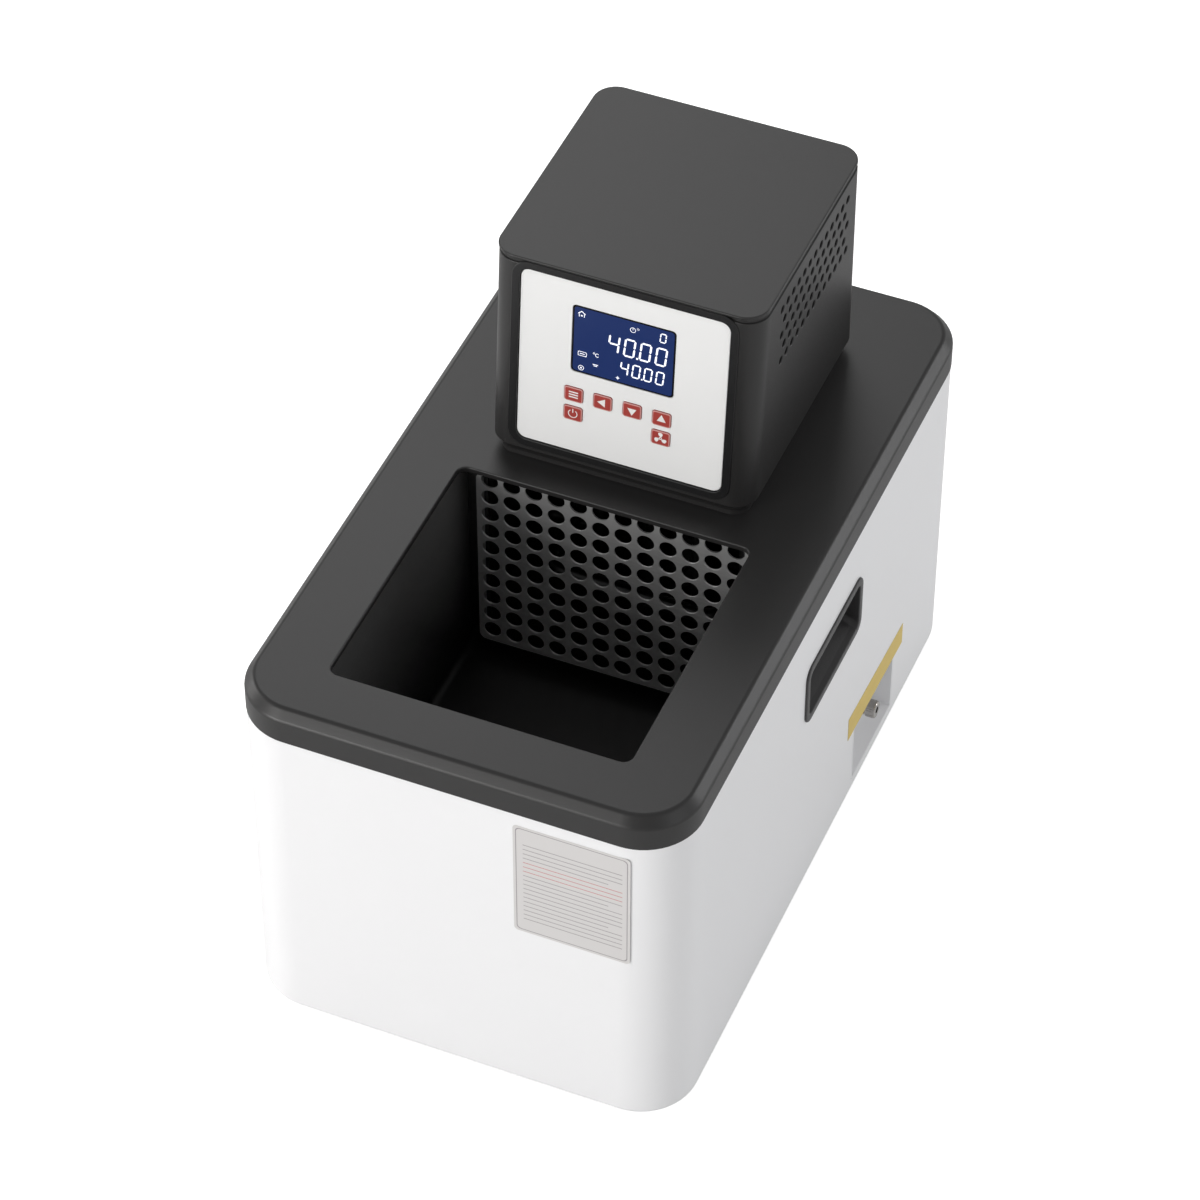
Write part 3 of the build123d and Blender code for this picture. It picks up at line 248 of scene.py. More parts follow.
# Colour, roughness and what differs from the plain surface
coatings = {
    "whitePaint": ((0.80, 0.80, 0.81), 0.34, dict(grain=700, depth=0.05, shade=0.012, uneven=0.03)),
    "darkCoat": ((0.0145, 0.014, 0.014), 0.42, dict(grain=1500, depth=0.10, shade=0.05, uneven=0.05)),
    "blackMoulding": ((0.006, 0.006, 0.0065), 0.38, dict(grain=1400, depth=0.12, shade=0.05)),
    "handleMoulding": ((0.034, 0.033, 0.034), 0.42, dict(grain=900, depth=0.25, shade=0.08)),
    "panelFilm": ((0.86, 0.86, 0.855), 0.4, dict(grain=1100, depth=0.04, shade=0.008, uneven=0.03)),
    "keyRed": ((0.38, 0.045, 0.035), 0.45, dict(grain=1600, depth=0.06, shade=0.05)),
    "keyRim": ((0.60, 0.28, 0.26), 0.45, dict(grain=1600, depth=0.04, shade=0.02)),
    "markWhite": ((0.85, 0.84, 0.83), 0.45, dict(grain=1600, depth=0.03, shade=0.01)),
    "displayBlack": ((0.006, 0.006, 0.008), 0.18, dict(grain=1200, depth=0.02, shade=0.03)),
    "feetRubber": ((0.018, 0.018, 0.018), 0.75, dict(grain=500, depth=0.3, shade=0.15, uneven=0.08)),
    "zincPlate": ((0.62, 0.62, 0.60), 0.3, dict(grain=800, depth=0.08, shade=0.06, metallic=1.0)),
    "nickelPlate": ((0.46, 0.44, 0.42), 0.16, dict(grain=900, depth=0.06, shade=0.05, metallic=1.0)),
    "bareBrass": ((0.70, 0.52, 0.24), 0.3, dict(grain=700, depth=0.08, shade=0.08, metallic=1.0)),
    "mineralWool": ((0.62, 0.56, 0.36), 0.95, dict(grain=260, depth=0.9, drift=30, shade=0.2)),
    "motorEnamel": ((0.06, 0.065, 0.07), 0.5, dict(grain=500, depth=0.3, shade=0.12)),
    "boardGreen": ((0.02, 0.14, 0.06), 0.35, dict(grain=400, depth=0.1, drift=60, shade=0.2)),
    "sinkMetal": ((0.66, 0.67, 0.68), 0.4, dict(grain=700, depth=0.1, shade=0.06, metallic=1.0)),
    "tapeYellow": ((0.66, 0.49, 0.13), 0.5, dict(grain=500, depth=0.15, drift=40, shade=0.07)),
    "labelPaper": ((0.60, 0.585, 0.58), 0.5, dict(grain=800, depth=0.05, drift=20, shade=0.01)),
    "labelGrey": ((0.30, 0.28, 0.29), 0.55, dict(grain=900, depth=0.03, shade=0.04)),
    "labelRed": ((0.50, 0.20, 0.19), 0.55, dict(grain=900, depth=0.03, shade=0.04)),
}
sheets = {
    "tankSteel": ((0.46, 0.46, 0.46), 0.4, dict(stretch=(6.0, 6.0, 900.0), depth=0.10)),
    "guardSteel": ((0.66, 0.66, 0.66), 0.52, dict(stretch=(14.0, 14.0, 1100.0), depth=0.12)),
    # This steel is kept darker than bare steel: painted shade on the parts inside the well and under the head
    "pipeSteelPaintedShade": ((0.22, 0.22, 0.22), 0.32, dict(stretch=(500.0, 500.0, 60.0), depth=0.08)),
    "zincSheet": ((0.50, 0.51, 0.52), 0.42, dict(stretch=(40.0, 500.0, 40.0), depth=0.15, shade=0.14)),
}
materials = {name: coated(name, colour, rough, **rest) for name, (colour, rough, rest) in coatings.items()}
for sheetName, (sheetColour, sheetRoughness, sheetRest) in sheets.items():
    materials[sheetName] = brushed(sheetName, sheetColour, sheetRoughness, **sheetRest)


def paintDepthShade(material, low, high, least):
    # Painted shade: parts deep in the well get a darker colour towards its floor (heights in metres)
    tree = material.node_tree
    shader = tree.nodes["Principled BSDF"]
    colour = shader.inputs["Base Color"].links[0].from_socket
    place = addNode(tree, "TexCoord").outputs["Object"]
    height = addNode(tree, "SeparateXYZ", {0: place}).outputs["Z"]
    fade = addNode(tree, "MapRange", interpolation_type="SMOOTHSTEP")
    connect(tree, fade, {"From Min": low, "From Max": high, "To Min": least, "To Max": 1.0, "Value": height})
    dim = addNode(tree, "VectorMath", operation="SCALE")
    connect(tree, dim, {0: colour, "Scale": fade.outputs[0]})
    connect(tree, shader, {"Base Color": dim.outputs[0]})


# Painted shade deep in the well, on the tank and on the steel parts inside it
paintDepthShade(materials["tankSteel"], 0.085, 0.185, 0.12)
paintDepthShade(materials["pipeSteelPaintedShade"], 0.09, 0.24, 0.15)


def glowing(name, colour, strength, roughness):
    # Lit part of the display
    material = coated(name, colour, roughness, grain=1500, depth=0.02, drift=30, shade=0.05)
    tree = material.node_tree
    glow = {"Emission Color": colour + (1.0,), "Emission Strength": strength}
    connect(tree, tree.nodes["Principled BSDF"], glow)
    return material


materials["displayBlue"] = glowing("displayBlue", (0.011, 0.023, 0.090), 0.52, 0.2)
materials["displayLit"] = glowing("displayLit", (0.82, 0.84, 0.90), 0.62, 0.3)
print("materials made:", len(materials))


# Mesh helpers. All of them work in millimetres; addPiece turns the result to metres.

def roundedOutline(halfX, halfY, radius, middle=(0.0, 0.0), steps=10):
    points = []
    for corner in range(4):
        x = middle[0] + (halfX - radius) * (1 if corner in (0, 3) else -1)
        y = middle[1] + (halfY - radius) * (1 if corner in (0, 1) else -1)
        for step in range(steps + 1):
            angle = math.radians(90 * corner + 90 * step / steps)
            points.append((x + radius * math.cos(angle), y + radius * math.sin(angle)))
    return points


def circleOutline(radius, middle=(0.0, 0.0), steps=24):
    turns = [2 * math.pi * step / steps for step in range(steps)]
    return [(middle[0] + radius * math.cos(turn), middle[1] + radius * math.sin(turn)) for turn in turns]


# Each of these places an outline's point at a depth along one axis

def alongX(y, z, depth):
    return (depth, y, z)


def alongY(x, z, depth):
    return (x, depth, z)


def alongZ(x, y, depth):
    return (x, y, depth)


def placeRing(mesh, place, outline, depth):
    return [mesh.verts.new(place(a, b, depth)) for a, b in outline]


def joinRings(mesh, first, second, material=0):
    count = len(first)
    for i in range(count):
        j = (i + 1) % count
        face = mesh.faces.new((first[i], first[j], second[j], second[i]))
        face.material_index = material


def joinAll(mesh, rings, closed=False, material=0):
    for first, second in zip(rings, rings[1:]):
        joinRings(mesh, first, second, material)
    if closed:
        joinRings(mesh, rings[-1], rings[0], material)


def closeRing(mesh, ring, material=0):
    face = mesh.faces.new(ring)
    face.material_index = material


def loft(mesh, place, outlineAt, profile, closed=False, material=0):
    # Skin over the outlines that outlineAt gives along a profile of (size, depth) pairs
    rings = [placeRing(mesh, place, outlineAt(size), depth) for size, depth in profile]
    joinAll(mesh, rings, closed, material)
    return rings


def prism(mesh, place, outline, depths, material=0):
    # Closed bar of one outline between two depths
    rings = [placeRing(mesh, place, outline, depth) for depth in depths]
    joinAll(mesh, rings, material=material)
    closeRing(mesh, rings[0], material)
    closeRing(mesh, rings[-1], material)


def ringEdges(mesh, ring):
    edges = []
    for i, vert in enumerate(ring):
        other = ring[(i + 1) % len(ring)]
        edges.append(mesh.edges.get((vert, other)) or mesh.edges.new((vert, other)))
    return edges


def fillWithHoles(mesh, outer, holes, normal):
    edges = ringEdges(mesh, outer)
    for hole in holes:
        edges += ringEdges(mesh, hole)
    bmesh.ops.triangle_fill(mesh, use_beauty=True, edges=edges, normal=normal)


def arcSteps(start, middle, end, steps=4):
    # Points of a quarter-like bend from start to end, pulled to a corner point
    points = []
    for step in range(steps + 1):
        t = step / steps
        corners = zip(start, middle, end)
        points.append(tuple((1 - t) ** 2 * a + 2 * t * (1 - t) * m + t * t * b for a, m, b in corners))
    return points


def addPiece(name, mesh, finishes, replaced=(), body="housing", sharp=38.0, weighted=True):
    bmesh.ops.remove_doubles(mesh, verts=mesh.verts, dist=0.0005)
    bmesh.ops.recalc_face_normals(mesh, faces=mesh.faces)
    bmesh.ops.scale(mesh, vec=(mm, mm, mm), verts=mesh.verts)
    for face in mesh.faces:
        face.smooth = True
    data = bpy.data.meshes.new(name)
    mesh.to_mesh(data)
    mesh.free()
    data.set_sharp_from_angle(angle=math.radians(sharp))
    for finish in finishes:
        data.materials.append(materials[finish])
    piece = bpy.data.objects.new(name, data)
    bpy.context.scene.collection.objects.link(piece)
    if weighted:
        modifier = piece.modifiers.new("evenNormals", "WEIGHTED_NORMAL")
        modifier.keep_sharp = True
        modifier.weight = 80
    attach(piece, body)
    if replaced:
        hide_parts(*replaced)


def nodeBox(name):
    low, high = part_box(name)
    return low / mm, high / mm


def nodeMiddle(name):
    low, high = nodeBox(name)
    return (low + high) / 2


# Cuts. A piece with side openings starts as a plain closed mesh, and closed bars are cut out of it.

def plainObject(name, mesh):
    bmesh.ops.recalc_face_normals(mesh, faces=mesh.faces)
    data = bpy.data.meshes.new(name)
    mesh.to_mesh(data)
    mesh.free()
    item = bpy.data.objects.new(name, data)
    bpy.context.scene.collection.objects.link(item)
    return item


def barCutter(place, outline, depths):
    mesh = bmesh.new()
    prism(mesh, place, outline, depths)
    return plainObject("barCutter", mesh)


def sideCutter(side, lowY, highY, lowZ, highZ, radius):
    middle = ((lowY + highY) / 2, (lowZ + highZ) / 2)
    outline = roundedOutline((highY - lowY) / 2, (highZ - lowZ) / 2, radius, middle, 5)
    return barCutter(alongX, outline, [side * x for x in wrapper["cutReach"]])


def dropObject(item):
    data = item.data
    bpy.data.objects.remove(item)
    bpy.data.meshes.remove(data)


def cutMesh(mesh, cutters):
    # The mesh with the cutters taken out of it
    piece = plainObject("blank", mesh)
    for cutter in cutters:
        modifier = piece.modifiers.new("cut", "BOOLEAN")
        modifier.operation = "DIFFERENCE"
        modifier.solver = "EXACT"
        modifier.object = cutter
    bpy.context.view_layer.update()
    graph = bpy.context.evaluated_depsgraph_get()
    cut = bpy.data.meshes.new_from_object(piece.evaluated_get(graph))
    mesh = bmesh.new()
    mesh.from_mesh(cut)
    bpy.data.meshes.remove(cut)
    for item in [piece] + cutters:
        dropObject(item)
    return mesh


# Body: deck cover, wrapper, tank and guard

deck = {
    "halfX": 115.0, "halfY": 196.0, "cornerRadius": 30.0, "skirt": 19.0, "bevelIn": 4.7,
    "bevelDown": 5.4, "edgeBreak": 0.8, "wall": 3.0, "lipDown": 6.0, "lipOuter": 1.8,
    "lipInner": 4.0, "mouthRadius": 5.0, "mouthHalfX": 76.5, "mouthBack": -8.8,
    "mouthFront": -162.4, "serviceRadius": 4.0, "serviceHalfX": 53.0, "serviceFront": 19.0,
    "serviceBack": 97.0,
}
deckTop = nodeBox("deck_cover")[1].z


def openingOutline(name, grow=0.0):
    # Outline of the mouth or the service opening in the deck
    front, back = deck[name + "Front"], deck[name + "Back"]
    radius = max(deck[name + "Radius"] + grow, 0.2)
    middle = (0.0, (front + back) / 2)
    return roundedOutline(deck[name + "HalfX"] + grow, (back - front) / 2 + grow, radius, middle, 6)


def makeDeckCover():
    def outline(inset):
        radius = deck["cornerRadius"] - inset
        return roundedOutline(deck["halfX"] - inset, deck["halfY"] - inset, radius, steps=14)

    mesh = bmesh.new()
    skirt = deckTop - deck["skirt"]
    underside = deckTop - deck["wall"]
    lip = skirt - deck["lipDown"]
    bevelLow = deckTop - deck["bevelDown"]
    bevelIn = deck["bevelIn"]
    lipInner, lipOuter = deck["lipInner"], deck["lipOuter"]
    profile = [(lipInner, underside), (lipInner, lip), (lipOuter, lip), (lipOuter, skirt), (0.5, skirt)]
    profile += arcSteps((0.5, skirt), (0.0, skirt), (0.0, skirt + 0.6), 3)[1:]
    profile += arcSteps((0.0, bevelLow - 1.2), (0.0, bevelLow), (0.85, bevelLow + 0.98), 5)
    profile += arcSteps((bevelIn - 1.0, deckTop - 1.15), (bevelIn, deckTop), (bevelIn + 1.5, deckTop), 5)
    rings = loft(mesh, alongZ, outline, profile)
    edge = deck["edgeBreak"]
    profile = arcSteps((edge, deckTop), (0.0, deckTop), (0.0, deckTop - edge), 3) + [(0.0, underside)]
    mouth = loft(mesh, alongZ, lambda grow: openingOutline("mouth", grow), profile)
    profile = [(0.0, deckTop), (0.0, underside)]
    service = loft(mesh, alongZ, lambda grow: openingOutline("service", grow), profile)
    fillWithHoles(mesh, rings[-1], [mouth[0], service[0]], (0, 0, 1))
    fillWithHoles(mesh, rings[0], [mouth[-1], service[-1]], (0, 0, -1))
    addPiece("deckCover", mesh, ["darkCoat"], ["deck_cover"])


wrapper = {
    "wall": 1.2, "bottomRadius": 4.0, "returnWidth": 12.0, "cornerRadius": 29.7,
    "cutReach": (100.0, 125.0), "underFrame": 2.2, "underFrameTop": 0.6, "cutRadius": 3.0,
}


def makeWrapper():
    low, high = nodeBox("body_shell")
    bend = wrapper["bottomRadius"]
    wall = wrapper["wall"]
    width = wrapper["returnWidth"]

    def outline(inset):
        return roundedOutline(high.x - inset, high.y - inset, wrapper["cornerRadius"] - inset, steps=14)

    mesh = bmesh.new()
    profile = [(0.0, high.z)]
    profile += arcSteps((0.0, low.z + bend), (0.0, low.z), (bend, low.z), 7)
    profile += [(width, low.z), (width, low.z + wall)]
    profile += arcSteps((bend, low.z + wall), (wall, low.z + wall), (wall, low.z + bend), 5)
    profile += [(wall, high.z)]
    loft(mesh, alongZ, outline, profile, closed=True)
    cutters = []
    under = wrapper["underFrame"]
    frameLow = deckTop - handle["belowDeck"] - handle["halfHeight"]
    cutLow = frameLow + under
    cutHigh = frameLow + 2 * handle["halfHeight"] - wrapper["underFrameTop"]
    for side, name in ((1, "handle_cup_right"), (-1, "handle_cup_left")):
        front, back = (corner.y for corner in nodeBox(name))
        ends = (front + under, back - under, cutLow, cutHigh)
        cutters.append(sideCutter(side, *ends, wrapper["cutRadius"]))
    tray = recessPlace()
    gap = recess["gap"]
    ends = (tray["front"] - gap, tray["back"] + gap, tray["low"] - gap, tray["high"] + gap)
    cutters.append(sideCutter(1, *ends, recess["radius"]))
    mesh = cutMesh(mesh, cutters)
    addPiece("bodyWrapper", mesh, ["whitePaint"], ["body_shell"])


tank = {
    "cornerRadius": 7.0, "floorRadius": 5.0, "lipRadius": 1.6, "wall": 1.0, "flange": 10.0,
    "drainRadius": 6.0, "drainX": 58.0, "drainY": 79.0, "spigot": 9.0,
}


def makeTank():
    low, high = nodeBox("bath_tank")
    wall = tank["wall"]
    flange = wall + tank["flange"]
    lip = tank["lipRadius"]
    middle = (0.0, (high.y + low.y) / 2)
    floorTop = low.z + tank["spigot"] + wall
    bend = tank["floorRadius"]

    def outline(grow):
        radius = max(tank["cornerRadius"] + grow, 0.5)
        return roundedOutline(high.x - flange + grow, (high.y - low.y) / 2 - flange + grow, radius, middle, 8)

    mesh = bmesh.new()
    profile = arcSteps((0.0, floorTop + bend), (0.0, floorTop), (-bend, floorTop), 7)[::-1]
    profile += arcSteps((0.0, high.z - lip), (0.0, high.z), (lip, high.z), 4)
    profile += [(flange, high.z), (flange, high.z - wall), (2.4, high.z - wall), (wall, high.z - 2.4)]
    profile += arcSteps((wall, floorTop + bend), (wall, floorTop - wall), (-bend, floorTop - wall), 7)
    rings = loft(mesh, alongZ, outline, profile)
    hole = tank["drainRadius"]
    profile = [(hole + 0.8, floorTop), (hole, floorTop - 0.6), (hole, low.z)]
    profile += [(hole + wall, low.z), (hole + wall, floorTop - wall)]
    place = (tank["drainX"], tank["drainY"])
    drain = loft(mesh, alongZ, lambda radius: circleOutline(radius, place, 28), profile)
    fillWithHoles(mesh, rings[0], [drain[0]], (0, 0, 1))
    fillWithHoles(mesh, rings[-1], [drain[-1]], (0, 0, -1))
    addPiece("bathTank", mesh, ["tankSteel"], ["bath_tank"])


guard = {
    "holeRadius": 4.6, "pitch": 11.8, "rowPitch": 11.4, "columns": 12, "rows": 9,
    "firstIn": 7.3, "firstUp": 8.2, "wall": 0.8, "returnDepth": 8.0, "cornerRadius": 4.0,
    "edgeBreak": 0.12,
}


def makeGuard():
    low, high = nodeBox("guard_plate")
    front = low.y
    back = front + guard["wall"]
    edge = guard["edgeBreak"]
    radius = guard["holeRadius"]
    middle = ((low.x + high.x) / 2, (low.z + high.z) / 2)
    halfX = (high.x - low.x) / 2
    halfZ = (high.z - low.z) / 2

    def outline(inset):
        return roundedOutline(halfX - inset, halfZ - inset, guard["cornerRadius"] - inset, middle, 6)

    def holeMiddle(column, row):
        firstZ = low.z + guard["firstUp"]
        return (low.x + guard["firstIn"] + column * guard["pitch"], firstZ + row * guard["rowPitch"])

    mesh = bmesh.new()
    profile = [(edge, front), (0.0, front + edge), (0.0, back - edge), (edge, back)]
    outer = loft(mesh, alongY, outline, profile)
    profile = [(radius + edge, front), (radius, front + edge), (radius, back - edge), (radius + edge, back)]
    holes = []
    for column in range(guard["columns"]):
        for row in range(guard["rows"]):
            place = holeMiddle(column, row)
            holes.append(loft(mesh, alongY, lambda size: circleOutline(size, place), profile))
    fillWithHoles(mesh, outer[0], [hole[0] for hole in holes], (0, -1, 0))
    fillWithHoles(mesh, outer[-1], [hole[-1] for hole in holes], (0, 1, 0))
    # The top row is cut through the plate's upper edge
    cutters = []
    for column in range(guard["columns"]):
        circle = circleOutline(radius, holeMiddle(column, guard["rows"]))
        cutters.append(barCutter(alongY, circle, (front - 1.0, back + 1.0)))
    mesh = cutMesh(mesh, cutters)
    addPiece("guardPlate", mesh, ["guardSteel"], ["guard_plate"])

    mesh = bmesh.new()
    half = guard["wall"] / 2
    for side, x in ((1, low.x), (-1, high.x)):
        edgeLine = roundedOutline(half, halfZ - guard["cornerRadius"], 0.3, (x + side * half, middle[1]), 3)
        prism(mesh, alongY, edgeLine, (back, low.y + guard["returnDepth"]))
    addPiece("guardReturns", mesh, ["guardSteel"])


# Handles, drain and its surroundings

handle = {
    "proud": 1.2, "edgeBreak": 0.8, "frame": 4.2, "cornerRadius": 7.0, "openingRadius": 3.6,
    "belowDeck": 68.4, "halfHeight": 18.7, "depth": 20.0, "wall": 1.8, "floorReach": 15.0,
    "floorRise": 5.7, "floorBack": 12.2, "pocketRise": 1.6,
}


def makeHandle(side, name, node):
    low, high = nodeBox(node)
    face = nodeBox("body_shell")[1].x
    middleY = (low.y + high.y) / 2
    halfY = (high.y - low.y) / 2
    halfZ = handle["halfHeight"]
    middleZ = deckTop - handle["belowDeck"]
    inner = handle["openingRadius"]

    def ring(grow, out, floorUp=0.0, roofUp=0.0, radius=None):
        size = handle["cornerRadius"] + grow if radius is None else radius
        centre = (middleY, middleZ + (floorUp + roofUp) / 2)
        half = halfZ + grow + (roofUp - floorUp) / 2
        outline = roundedOutline(halfY + grow, half, max(size, 0.4), centre, 6)
        return placeRing(mesh, alongX, outline, side * (face + out))

    mesh = bmesh.new()
    proud = handle["proud"]
    edge = handle["edgeBreak"]
    frameIn = -handle["frame"]
    rings = [ring(0.0, 0.0), ring(0.0, proud - edge)]
    bend = arcSteps((proud - edge, 0.0), (proud, -0.05), (proud, -0.9), 4)[1:]
    rings += [ring(grow, out) for out, grow in bend]
    rings.append(ring(frameIn + 0.9, proud, radius=inner + 0.6))
    bend = arcSteps((proud, frameIn + 0.6), (proud, frameIn), (proud - edge, frameIn), 3)[1:]
    rings += [ring(grow, out, radius=inner) for out, grow in bend]
    # Stations of the pocket: how far in, how far its floor and its roof are raised
    wall, depth, reach, roof = handle["wall"], handle["depth"], handle["floorReach"], handle["pocketRise"]
    rise, backRise = handle["floorRise"], handle["floorBack"]
    stations = [
        (wall, 0.6, 0.0), (wall + 0.4, 0.8, roof), (reach * 0.5, rise * 0.5, roof), (reach, rise, roof),
        ((reach + depth) / 2, (rise + backRise) / 2, roof), (depth, backRise, roof),
    ]
    rings += [ring(frameIn, -inwards, floor, top, inner) for inwards, floor, top in stations]
    joinAll(mesh, rings)
    closeRing(mesh, rings[-1])
    outside = frameIn + wall
    back = [ring(0.0, 0.0), ring(outside, 0.0, radius=inner), ring(outside, -depth - wall, 0.0, roof, inner)]
    joinAll(mesh, back)
    closeRing(mesh, back[-1])
    addPiece(name, mesh, ["handleMoulding"], [node], sharp=50)


recess = {
    "depth": 14.0, "wall": 1.0, "radius": 2.0, "floorRadius": 1.5, "flangeSide": 5.3,
    "flangeEnd": 0.3, "gap": 0.3, "cockHole": 4.6,
}


def recessPlace():
    low, high = nodeBox("drain_recess")
    side, end = recess["flangeSide"], recess["flangeEnd"]
    ends = {"front": low.y + side, "back": high.y - side, "low": low.z + end, "high": high.z - end}
    return {**ends, "face": high.x}


def makeRecess():
    place = recessPlace()
    face = place["face"]
    middle = ((place["front"] + place["back"]) / 2, (place["low"] + place["high"]) / 2)
    halfY = (place["back"] - place["front"]) / 2
    halfZ = (place["high"] - place["low"]) / 2
    wall = recess["wall"]
    bend = recess["floorRadius"]
    floor = face - recess["depth"]

    def outline(grow):
        return roundedOutline(halfY + grow, halfZ + grow, max(recess["radius"] + grow, 0.3), middle, 6)

    mesh = bmesh.new()
    profile = [(-wall, face)] + arcSteps((-wall, floor + bend), (-wall, floor), (-wall - bend, floor), 4)
    rings = loft(mesh, alongX, outline, profile)
    outside = loft(mesh, alongX, outline, [(0.0, face), (0.0, floor - wall)])
    joinRings(mesh, outside[0], rings[0])
    centre = nodeMiddle("drain_cock")
    profile = [(recess["cockHole"], floor), (recess["cockHole"], floor - wall)]
    holes = loft(mesh, alongX, lambda radius: circleOutline(radius, (centre.y, centre.z)), profile)
    fillWithHoles(mesh, rings[-1], [holes[0]], (1, 0, 0))
    fillWithHoles(mesh, outside[-1], [holes[1]], (-1, 0, 0))
    addPiece("drainRecess", mesh, ["whitePaint"], ["drain_recess"])


cock = {
    "socketRadius": 8.5, "socketBore": 5.95, "socketDepth": 6.0, "chamfer": 0.4,
    "collarRadius": 4.3, "waist": 0.55, "sleeveRadius": 4.75, "sleeveBore": 2.95,
    "sleeveBoreDepth": 3.8, "stubRadius": 2.9, "bore": 1.9, "edgeBreak": 0.5, "ribs": 30,
    "ribDepth": 0.16,
}


def makeCock():
    # Profiles are (radius, x) pairs of a lathe-turned shape
    low, high = nodeBox("drain_cock")
    centre = (low + high) / 2
    axis = (centre.y, centre.z)
    wallFace = recessPlace()["face"] - recess["depth"]
    start, end = (corner.x for corner in nodeBox("drain_sleeve"))
    edge, chamfer = cock["edgeBreak"], cock["chamfer"]
    collar, stub, bore, socket = cock["collarRadius"], cock["stubRadius"], cock["bore"], cock["socketRadius"]
    collarEnd = start - 0.3
    neck = wallFace + (collarEnd - wallFace) * 0.42
    waist = collar - cock["waist"]
    socketEnd = wallFace - 1.0
    boreEnd = low.x + cock["socketDepth"]
    profile = [
        (cock["socketBore"], low.x), (socket - chamfer, low.x), (socket, low.x + chamfer),
        (socket, socketEnd - chamfer), (socket - chamfer, socketEnd), (collar, socketEnd),
        (collar, neck - 0.7), (waist, neck - 0.4), (waist, neck + 0.4), (collar, neck + 0.7),
        (collar, collarEnd - edge), (collar - edge, collarEnd), (stub, collarEnd), (stub, high.x),
        (bore, high.x), (bore, boreEnd), (cock["socketBore"], boreEnd),
    ]
    mesh = bmesh.new()
    loft(mesh, alongX, lambda radius: circleOutline(radius, axis, 40), profile, closed=True)
    addPiece("drainCock", mesh, ["nickelPlate"], ["drain_cock"], sharp=30)

    radius, rib, ribs = cock["sleeveRadius"], cock["ribDepth"], cock["ribs"]
    sleeveBore, boreEnd = cock["sleeveBore"], start + cock["sleeveBoreDepth"]

    def ribbed(size):
        # Two of each four points lie a rib's depth further in
        reach, depth = size
        points = []
        for step in range(ribs * 4):
            turn = 2 * math.pi * step / (ribs * 4)
            out = reach - depth * (1.0 if step % 4 in (2, 3) else 0.0)
            points.append((axis[0] + out * math.cos(turn), axis[1] + out * math.sin(turn)))
        return points

    profile = [
        ((radius - edge, 0.0), start), ((radius - 0.1, 0.0), start + edge), ((radius, rib), start + 1.0),
        ((radius, rib), end - 1.4), ((radius - 0.1, 0.0), end - 0.9), ((radius - 0.15, 0.0), end - 0.3),
        ((radius - edge, 0.0), end), ((bore, 0.0), end), ((bore, 0.0), boreEnd), ((sleeveBore, 0.0), boreEnd),
        ((sleeveBore, 0.0), start),
    ]
    mesh = bmesh.new()
    loft(mesh, alongX, ribbed, profile, closed=True)
    addPiece("drainRing", mesh, ["nickelPlate"], ["drain_sleeve"], "drain_ring", sharp=30)


tape = {
    "corners": [(37.4, -147.2), (37.4, -162.5), (117.5, -165.3), (117.5, -151.5)],
    "thickness": 0.16,
    "across": 16,
    "ripple": 0.05,
}


def makeTape():
    # Plain strip of label tape on the right side, over the drain recess
    face = nodeBox("body_shell")[1].x
    mesh = bmesh.new()
    corners = [(y, deckTop + z) for y, z in tape["corners"]]
    across = tape["across"]
    points = []
    for start, end in ((corners[1], corners[2]), (corners[3], corners[0])):
        for i in range(across + 1):
            points.append(tuple(a + (b - a) * i / across for a, b in zip(start, end)))

    def rippled(y, z, out):
        return (face + out + tape["ripple"] * math.sin(y * 0.35), y, z)

    rings = [placeRing(mesh, rippled, points, out) for out in (0.01, tape["thickness"])]
    joinAll(mesh, rings)
    last = 2 * across + 1
    for ring in rings:
        for i in range(across):
            mesh.faces.new((ring[i], ring[i + 1], ring[last - 1 - i], ring[last - i]))
    addPiece("sideTape", mesh, ["tapeYellow"], sharp=30)


label = {
    "left": 32.0, "right": 91.0, "high": -26.0, "low": -98.5, "radius": 2.2, "thickness": 0.12,
    "border": 0.45, "borderIn": 1.3, "ink": 0.02, "lines": 18, "linePitch": 3.0,
    "lineHalf": 0.22, "firstLineDown": 12.0, "redLines": (4, 5, 6),
}


def makeLabel():
    # Plain bordered plate with ruled lines on the front
    face = -nodeBox("body_shell")[1].y
    left, right = label["left"], label["right"]
    low, high = deckTop + label["low"], deckTop + label["high"]
    middle = ((left + right) / 2, (low + high) / 2)
    top = 0.01 + label["thickness"]
    ink = label["ink"]

    def outward(x, z, out):
        return (x, face - out, z)

    def outline(grow):
        return roundedOutline((right - left) / 2 + grow, (high - low) / 2 + grow, label["radius"], middle, 4)

    mesh = bmesh.new()
    prism(mesh, outward, outline(0.0), (0.01, top))
    border = -label["borderIn"]
    thin = border - label["border"]
    profile = [(border, top), (border, top + ink), (thin, top + ink), (thin, top)]
    loft(mesh, outward, outline, profile, True, 1)
    for step in range(label["lines"]):
        z = high - label["firstLineDown"] - step * label["linePitch"]
        colour = 2 if step in label["redLines"] else 1
        start, end = left + 5.0, right - 4.0 - (7.0 if step % 5 == 3 else 0.0)
        line = roundedOutline((end - start) / 2, label["lineHalf"], 0.1, ((start + end) / 2, z), 4)
        prism(mesh, outward, line, (top, top + ink), colour)
    addPiece("frontLabel", mesh, ["labelPaper", "labelGrey", "labelRed"], sharp=30, weighted=False)


# Control head. Heights are above the deck.

